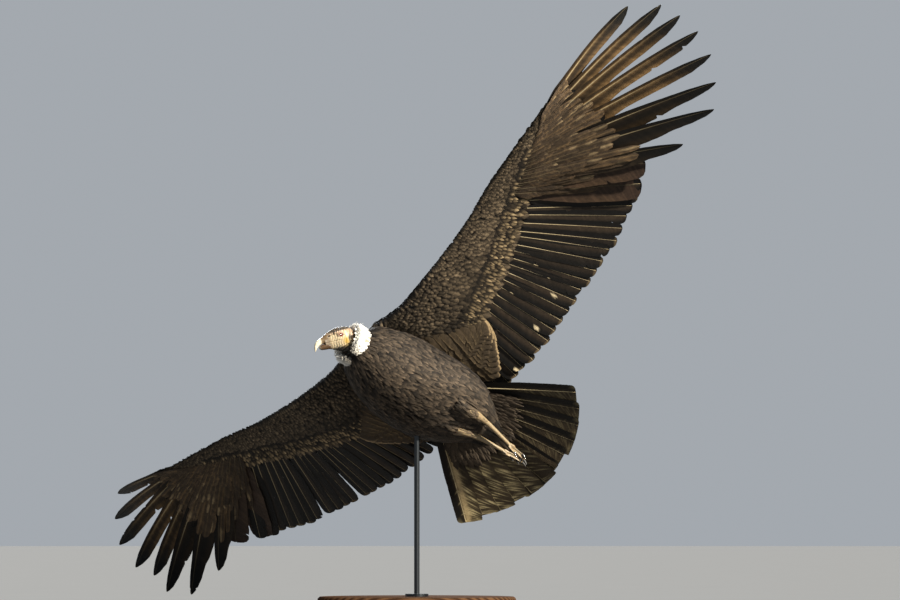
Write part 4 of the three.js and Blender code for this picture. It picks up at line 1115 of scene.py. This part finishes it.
# Closed meshes joined into the first of them, made one by a voxel remesh and smoothed.
def oneSkin(pieces, voxel, steps, factor, merge=False):
    bpy.ops.object.select_all(action="DESELECT")
    for piece in pieces:
        piece.select_set(True)
    piece = pieces[0]
    bpy.context.view_layer.objects.active = piece
    bpy.ops.object.join()
    if merge:
        bpy.ops.object.mode_set(mode="EDIT")
        bpy.ops.mesh.select_all(action="SELECT")
        bpy.ops.mesh.remove_doubles(threshold=0.00005)
        bpy.ops.object.mode_set(mode="OBJECT")
    remesh = piece.modifiers.new("one skin", "REMESH")
    remesh.mode = "VOXEL"
    remesh.voxel_size = voxel
    bpy.ops.object.modifier_apply(modifier=remesh.name)
    soften = piece.modifiers.new("soften", "SMOOTH")
    soften.iterations = steps
    soften.factor = factor
    bpy.ops.object.modifier_apply(modifier=soften.name)
    return piece


# Puts a joined skin in its place with its colours.
def finishSkin(piece, points, shade):
    put(piece.data.vertices, "co", toWorld(points))
    piece.data.update()
    dress(piece, shade, bareSkin)


# Trunk, arms and the root of the tail as one skin under all the feathers.
def trunkSkin():
    forms = [skinForm(bodyForm(), "skin_under_the_plumage"), skinForm(tailForm(), "tail root")]
    forms += [skinForm(wingForm(mirror), "arm") for mirror in (False, True)]
    piece = oneSkin(forms, 3.4, 3, 0.6)
    points = take(piece.data.vertices, "co")
    finishSkin(piece, points, np.tile(body["skin"], (len(points), 1)))
    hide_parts("torso", "wing_left", "wing_right", "tail")


neck = {"start": (14, 0, -52), "middle": (44, 2, -54), "headEnd": (-18, 0, -24), "radius": [38, 36, 32, 27]}


# The neck as a tube with three low folds, from the trunk into the back of the head.
def neckForm():
    rows, sides, folds = 60, 56, 3
    line = curveThrough([neck["start"], neck["middle"], fromHead(neck["headEnd"])], rows)
    along = unit(np.gradient(line, axis=0))
    across = unit(np.array([0, 1.0, 0]) - along * along[:, 1:2])
    other = np.cross(along, across)
    t = np.linspace(0, 1, rows)
    radius = np.interp(t, np.linspace(0, 1, 4), neck["radius"]) + 1.5 * np.cos(t * folds * 2 * math.pi)
    angle = roundTurn(sides)[:, None]
    ring = across[:, None] * np.cos(angle) + other[:, None] * np.sin(angle)
    return line[:, None] + ring * radius[:, None, None]


# The bare head and neck: forms joined into one skin, which is then wrinkled and dented.
def headAndNeck():
    x = np.concatenate([[-44], np.linspace(-43.4, 47, 60)])
    skull = eggRows(head["stations"], head["crown"], head["jaw"], head["halfWidth"], x, 64)
    parts = [skinForm(fromHead(skull), "bare_head_and_neck"), skinForm(neckForm(), "neck part")]
    ex, ey, ez = head["eye"]
    for side in (1, -1):
        parts.append(ellipsoid((ex + 2, side * (ey - 1), ez + 10.5), (17, 6.5, 4.5), "brow part", 6))
        parts.append(ellipsoid((ex - 12, side * (ey - 2), -17), (16, 9, 12), "cheek part", -8))
        parts.append(ellipsoid((-27, side * 19.5, -10), (5, 9, 19), "jaw fold part", 12))
    piece = oneSkin(parts, 1.1, 6, 0.6)
    points = take(piece.data.vertices, "co").astype(float)
    normal = take(piece.data.vertices, "normal").astype(float)
    wrinkle = wrinkles(intoHead(points))
    points += normal * wrinkle[:, None]
    # the skin gives way behind the eye, and sinks at the ear, the mouth and the nostril
    x, y, z = intoHead(points).T
    side = np.abs(y)
    socket = smooth((head["eyeRadius"] - 0.6 - np.hypot(x - ex, (z - ez) / 0.86)) / 1.6) * (side > ey)
    dent = 7.5 * socket
    ear = np.hypot((x + 29) / 3.2, (z + 18) / 6.5)
    dent += 4.5 * smooth(1.25 - ear) * (side > 16)
    mouthLine = np.interp(x, [4, 27, 40, 54], [-12.5, -11.4, -10.6, -9])
    dent += 1.6 * np.exp(-(((z - mouthLine) / 0.9) ** 2)) * smooth((x - 2) / 4) * (side > 5)
    nostril = np.hypot((x - 31.3) / 4.6, (z - 7.3) / 1.7)
    dent += 3.6 * smooth(1.3 - nostril) * (side > 4)
    points -= normal * dent[:, None]
    # painted shade: the skin is darker in the grooves of the wrinkles
    shade = headShade(intoHead(points)) * (1 - 0.5 * smooth(-wrinkle * 0.9))[:, None]
    finishSkin(piece, points, shade)
    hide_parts("head", "neck")


# Folds of bare skin: slanting rings on the nape, wattle lines on the throat, fine creases and bumps all over.
def wrinkles(h):
    x, y, z = h.T
    wave = np.sin(x * 0.9 + 0.25 * z + 1.6 * np.sin(z * 0.22 + y * 0.1)) * 0.35
    nape = smooth((-8 - x) / 14) * 0.9 * np.sin(x * 0.62 + np.abs(y) * 0.16 + 0.8 * np.sin(z * 0.12))
    throat = smooth((-24 - z) / 10) * 0.9 * np.sin(z * 0.75 + x * 0.35 + 0.7 * np.sin(y * 0.3))
    bumps = 0.35 * np.sin(x * 1.7 + 3) * np.sin(y * 1.5) * np.sin(z * 1.6)
    return (wave + nape + throat + bumps) * (1 - smooth((x - 24) / 12))


# The head's colours from the ground up: each layer is a tint and how much of it shows.
def headShade(h):
    x, y, z = h.T
    side = np.abs(y)
    blotch = 0.5 + 0.5 * np.sin(x * 0.9 + 2 * np.sin(y * 0.4)) * np.sin(y * 0.7 + z * 0.5)
    crown = mix(head["crownTint"], head["cream"], (blotch**3 * 0.35)[:, None])
    yellow = np.exp(-((x + 13) ** 2 / 100 + (z + 19) ** 2 / 160))
    ear = np.exp(-(((x + 27 + 0.25 * z) / 3) ** 2) - ((z + 12) / 11) ** 2)
    nostril = np.hypot((x - 31.3) / 5, (z - 7.3) / 2.6)
    layers = (
        (head["cream"], smooth((16 - z) / 14) * smooth((x + 34) / 16)),
        (crown, smooth((z - 9 - 3 * blotch) / 5) * smooth((36 - x) / 10)),
        # painted shade: the throat under the jaw is painted near black
        (head["throat"], smooth((-29 - z) / 6) * smooth((44 - x) / 10) * 0.95),
        (head["yellow"], np.clip(yellow * 1.1, 0, 1)),
        # painted shade: the ear opening is painted near black, as the shade inside it
        (head["ear"], np.clip(ear * 1.4, 0, 1) * (side > 12)),
        (head["cere"], smooth((x - 24) / 12) * 0.85),
        # painted shade: the nostril is painted near black, as the shade inside it
        (head["nostril"], smooth(1.4 - nostril) * (side > 4)),
    )
    shade = head["pink"]
    for tint, share in layers:
        shade = mix(shade, tint, share[:, None])
    return shade


# Eyeballs with a streaked red iris, clear and wet, and a low dome over the pupil.
def eyes():
    ex, ey, ez = head["eye"]
    for name, side, finish in (("eye_left", 1, "red iris"), ("eye_right", -1, "red iris two")):
        material, tree = newMaterial(finish)
        tint = add(tree, "Attribute", {"attribute_name": "shade"})
        surface = add(
            tree, "BsdfPrincipled",
            Base_Color=tint.outputs["Color"], Roughness=0.12, Coat_Weight=1.0, Coat_Roughness=0.03,
        )
        closeMaterial(tree, surface)
        coat = newCoat()
        u = np.linspace(0, math.pi, 48)[:, None]
        v = roundTurn(64)[None]
        r = head["eyeRadius"] + 0.7 * np.exp(-((u / 0.55) ** 2))
        ball = grid(np.sin(u) * np.cos(v) * r, np.cos(u) * r * side, np.sin(u) * np.sin(v) * r)
        points = fromHead(ball + np.array([ex, side * ey, ez]))
        streak = (0.5 + 0.5 * np.sin(v * 31) * np.sin(v * 12 + u * 9))[..., None]
        iris = mix(head["irisDark"], head["irisPale"], streak)
        shade = mix(np.array([0.003, 0.003, 0.003]), iris, smooth((u - 0.3) / 0.03)[..., None])
        shade = mix(shade, head["eyeRim"], smooth((u - 0.78) / 0.06)[..., None])
        addGrids(coat, points[None], shade[None], grid(v / 6.4, u / 3.2)[None], closed=True)
        piece = buildCoat(name + "_ball", coat, material)
        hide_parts(name)


# Three rims of lid round each eye, the inner ones thicker and further out.
def eyelids():
    coat = newCoat()
    ex, ey, ez = head["eye"]
    a = roundTurn(72)
    b = roundTurn(10)[:, None]
    for side in (1, -1):
        middle = np.array([ex, side * ey, ez])
        for out, thick, deep in ((6.6, 1.5, 5.6), (8.8, 1.3, 4.6), (10.8, 1.0, 3.2)):
            squeeze = np.where(np.sin(a) > 0, 0.8, 0.84)
            y = side * (ey + deep - 0.04 * out * np.cos(a))
            centre = grid(ex + np.cos(a) * out, y, ez + np.sin(a) * out * squeeze)
            outward = unit(centre - middle)
            along = unit(np.roll(centre, -1, axis=0) - np.roll(centre, 1, axis=0))
            other = np.cross(along, outward)
            size = thick * (1 + 0.4 * np.sin(a))[:, None, None]
            points = centre[:, None] + (outward[:, None] * np.cos(b) + other[:, None] * np.sin(b)) * size
            points = fromHead(np.concatenate([points, points[:1]]))
            addGrids(coat, points[None], head["lid"], 0.5, closed=True)
    buildCoat("eyelid_rims", coat, bareSkin)


bill = {
    "upper_bill": {
        "stations": [34, 38.4, 46, 54, 62, 69, 75, 79, 81.4],
        "top": [17.4, 16.6, 12.6, 9.4, 6.8, 3, -2.6, -9.4, -17],
        "low": [-10.6, -10.6, -10.2, -9.8, -11, -14.4, -19.6, -24.6, -27.4],
        "half": [12, 11.8, 10.6, 9.8, 9, 7.8, 6.2, 4.2, 1.6],
        **paints(tint="#5e5040"),
    },
    "lower_bill": {
        "stations": [34, 38.4, 47, 55, 62, 66],
        "top": [-11.2, -11.2, -10.9, -10.6, -12.4, -16],
        "low": [-28.6, -28.2, -27.6, -26.4, -24.4, -20.5],
        "half": [11, 11, 9.4, 8, 6.2, 3],
        **paints(tint="#453423"),
    },
}


# Half of the bill, brown to the rear and ivory towards the hook.
def billHalf(name, node):
    part = bill[name]
    rows, sides = 70, 56
    coat = newCoat()
    x = np.linspace(part["stations"][0], part["stations"][-1], rows)
    points = eggRows(part["stations"], part["top"], part["low"], part["half"], x, sides, 0.85)
    for row in (0, -1):
        points[row] = points[row].mean(axis=0)
    brown = smooth((61 - x) / 8) if node == "bill_upper" else 1 - 0.3 * smooth((x - 60) / 4)
    shade = mix(np.array([0.62, 0.62, 0.62]), part["tint"], brown[None, :, None, None])
    bake = grid(np.arange(sides)[None] / sides, np.linspace(0, 1, rows)[:, None])
    addGrids(coat, fromHead(points)[None], shade, bake[None], closed=True)
    piece = buildCoat(name, coat, billHorn)
    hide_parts(node)


# Shanks, feet and claws: the solids' own shapes rounded into one skin each.
def roundedCopy(name, nodes, voxel, material, tint, slim=0.0):
    copies = []
    for node in nodes:
        copy = frame["nodes"][node].copy()
        copy.data = frame["nodes"][node].data.copy()
        copy.parent = None
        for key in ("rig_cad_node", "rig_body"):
            if key in copy:
                del copy[key]
        bpy.context.scene.collection.objects.link(copy)
        copies.append(copy)
    piece = oneSkin(copies, voxel, 5, 0.5, merge=True)
    piece.name = name
    vertices = piece.data.vertices
    put(vertices, "co", take(vertices, "co") - take(vertices, "normal") * slim)
    piece.data.update()
    dress(piece, np.tile(tint, (len(vertices), 1)), material)
    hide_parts(*nodes)
    return piece


def buildBird():
    trunkSkin()
    buildCoat("body_contour_feathers", bodyCoat(), plumage)
    buildCoat("thigh_tufts", thighTufts(), plumage)
    for side, mirror in (("left", False), ("right", True)):
        name = "wing_" + side
        tips = wing[side + "Tips"]
        buildCoat(name + "_flight_feathers", flightFeathers(mirror, tips), flightPlumage)
        buildCoat(name + "_under_coverts", wingCoverts(-1, mirror, tips), plumage)
        buildCoat(name + "_upper_coverts", wingCoverts(1, mirror, tips), plumage)
    buildCoat("tail_feathers", tailFeathers(), flightPlumage)
    buildCoat("tail_coverts", tailCoverts(), plumage)
    down = buildCoat("ruff_of_down", ruffDown(), downWool)
    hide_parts("ruff")
    headAndNeck()
    eyelids()
    eyes()
    billHalf("upper_bill", "bill_upper")
    billHalf("lower_bill", "bill_lower")
    white = linear("#ffffff")
    for side in ("left", "right"):
        shank = [f"leg_{side}", f"foot_{side}"]
        name = f"{side}_shank_and_foot"
        roundedCopy(name, shank, 0.0012, scuteSkin, legs["scute"], legs["slim"])
        claws = [f"claw_{side}_{i}" for i in (1, 2, 3, 4)]
        roundedCopy(f"{side}_claws", claws, 0.0007, clawHorn, white)


buildBird()
print("bird built")

# The stand keeps the solids. The base is walnut, oiled and dull: rings 22 mm apart, pores of 1 by 11 mm.
walnut, tree = newMaterial("oiled walnut")
place = add(tree, "TexCoord")
stretch = add(tree, "Mapping", Vector=place.outputs["Object"], Scale=(1.0, 9.0, 4.0))
rings = add(
    tree, "TexWave", {"bands_direction": "Y"},
    Vector=stretch.outputs[0], Scale=1.6, Distortion=7.0, Detail=4.0, Detail_Scale=1.2,
)
pores = add(tree, "TexNoise", Vector=stretch.outputs[0], Scale=90.0, Detail=6.0)
wood = add(
    tree, "Mix", {"data_type": "RGBA"},
    i0=rings.outputs["Fac"], i6=rgba("#2a1b11"), i7=rgba("#4c3523"),
)
grainDark = add(
    tree, "MapRange", Value=pores.outputs["Fac"], From_Min=0.35, From_Max=0.65, To_Min=0.75, To_Max=1.1,
)
woodTone = add(tree, "VectorMath", {"operation": "SCALE"}, i0=wood.outputs[2], i3=grainDark.outputs[0])
woodBump = add(tree, "Bump", Strength=0.15, Distance=0.0005, Height=pores.outputs["Fac"])
surface = add(
    tree, "BsdfPrincipled", Base_Color=woodTone.outputs[0], Roughness=0.95, Normal=woodBump.outputs[0],
    Specular_IOR_Level=0.04,
)
closeMaterial(tree, surface)

# The rod and flange are steel under a dark enamel, which shines more and less in 3 mm spots.
enamel, tree = newMaterial("dark enamelled steel")
place = add(tree, "TexCoord")
speck = add(tree, "TexNoise", Vector=place.outputs["Object"], Scale=300.0, Detail=4.0)
dull = add(tree, "MapRange", Value=speck.outputs["Fac"], To_Min=0.28, To_Max=0.42)
closeMaterial(
    tree, add(tree, "BsdfPrincipled", Base_Color=rgba("#3a3d40"), Roughness=dull.outputs[0], Metallic=1.0)
)
for node, material in (("stand_base", walnut), ("stand_flange", enamel), ("stand_rod", enamel)):
    frame["nodes"][node].data.materials[0] = material
print("stand finished")

# A wide plain floor in a pale room: matt card without gloss, its tone changing a little every 0.3 m.
bpy.ops.mesh.primitive_circle_add(vertices=96, radius=60, fill_type="NGON")
floor = bpy.context.object
floor.name = "floor"
paper, tree = newMaterial("pale studio floor")
place = add(tree, "TexCoord")
fibre = add(tree, "TexNoise", Vector=place.outputs["Object"], Scale=3.0, Detail=3.0)
tone = add(
    tree, "Mix", {"data_type": "RGBA"},
    i0=fibre.outputs["Fac"], i6=rgba("#646668"), i7=rgba("#68696b"),
)
closeMaterial(
    tree, add(tree, "BsdfPrincipled", Base_Color=tone.outputs[2], Roughness=1.0, Specular_IOR_Level=0.1)
)
floor.data.materials.append(paper)
world = bpy.data.worlds.new("studio")
bpy.context.scene.world = world
world.use_nodes = True
world.node_tree.nodes["Background"].inputs[0].default_value = rgba("#dfe6ee")
world.node_tree.nodes["Background"].inputs[1].default_value = 0.5


# A warm key sun from the front right, and a cool softer one from behind that lights the upper side.
suns = {
    "key": {"towards": (0.646, -0.585, 0.478), "strength": 14.5, "softness": 4, "colour": (1.0, 0.93, 0.8)},
    "upper side": {"towards": (-0.25, 0.8, 0.5), "strength": 2.4, "softness": 20, "colour": (0.9, 0.95, 1.0)},
}
for name, sun in suns.items():
    light = bpy.data.lights.new(name, "SUN")
    light.energy = sun["strength"]
    light.angle = math.radians(sun["softness"])
    light.color = sun["colour"]
    newPiece(name, light).rotation_euler = Vector(sun["towards"]).to_track_quat("Z", "Y").to_euler()

camera = newPiece("camera", bpy.data.cameras.new("camera"))
camera.data.lens = view["lens"]
camera.data.sensor_width = view["sensor"]
camera.data.clip_end = 200
camera.location = view["place"]
camera.rotation_euler = (math.radians(90 + view["lookUp"]), 0, 0)
bpy.context.scene.camera = camera
bpy.context.scene.view_settings.view_transform = "Standard"
print("stage set")
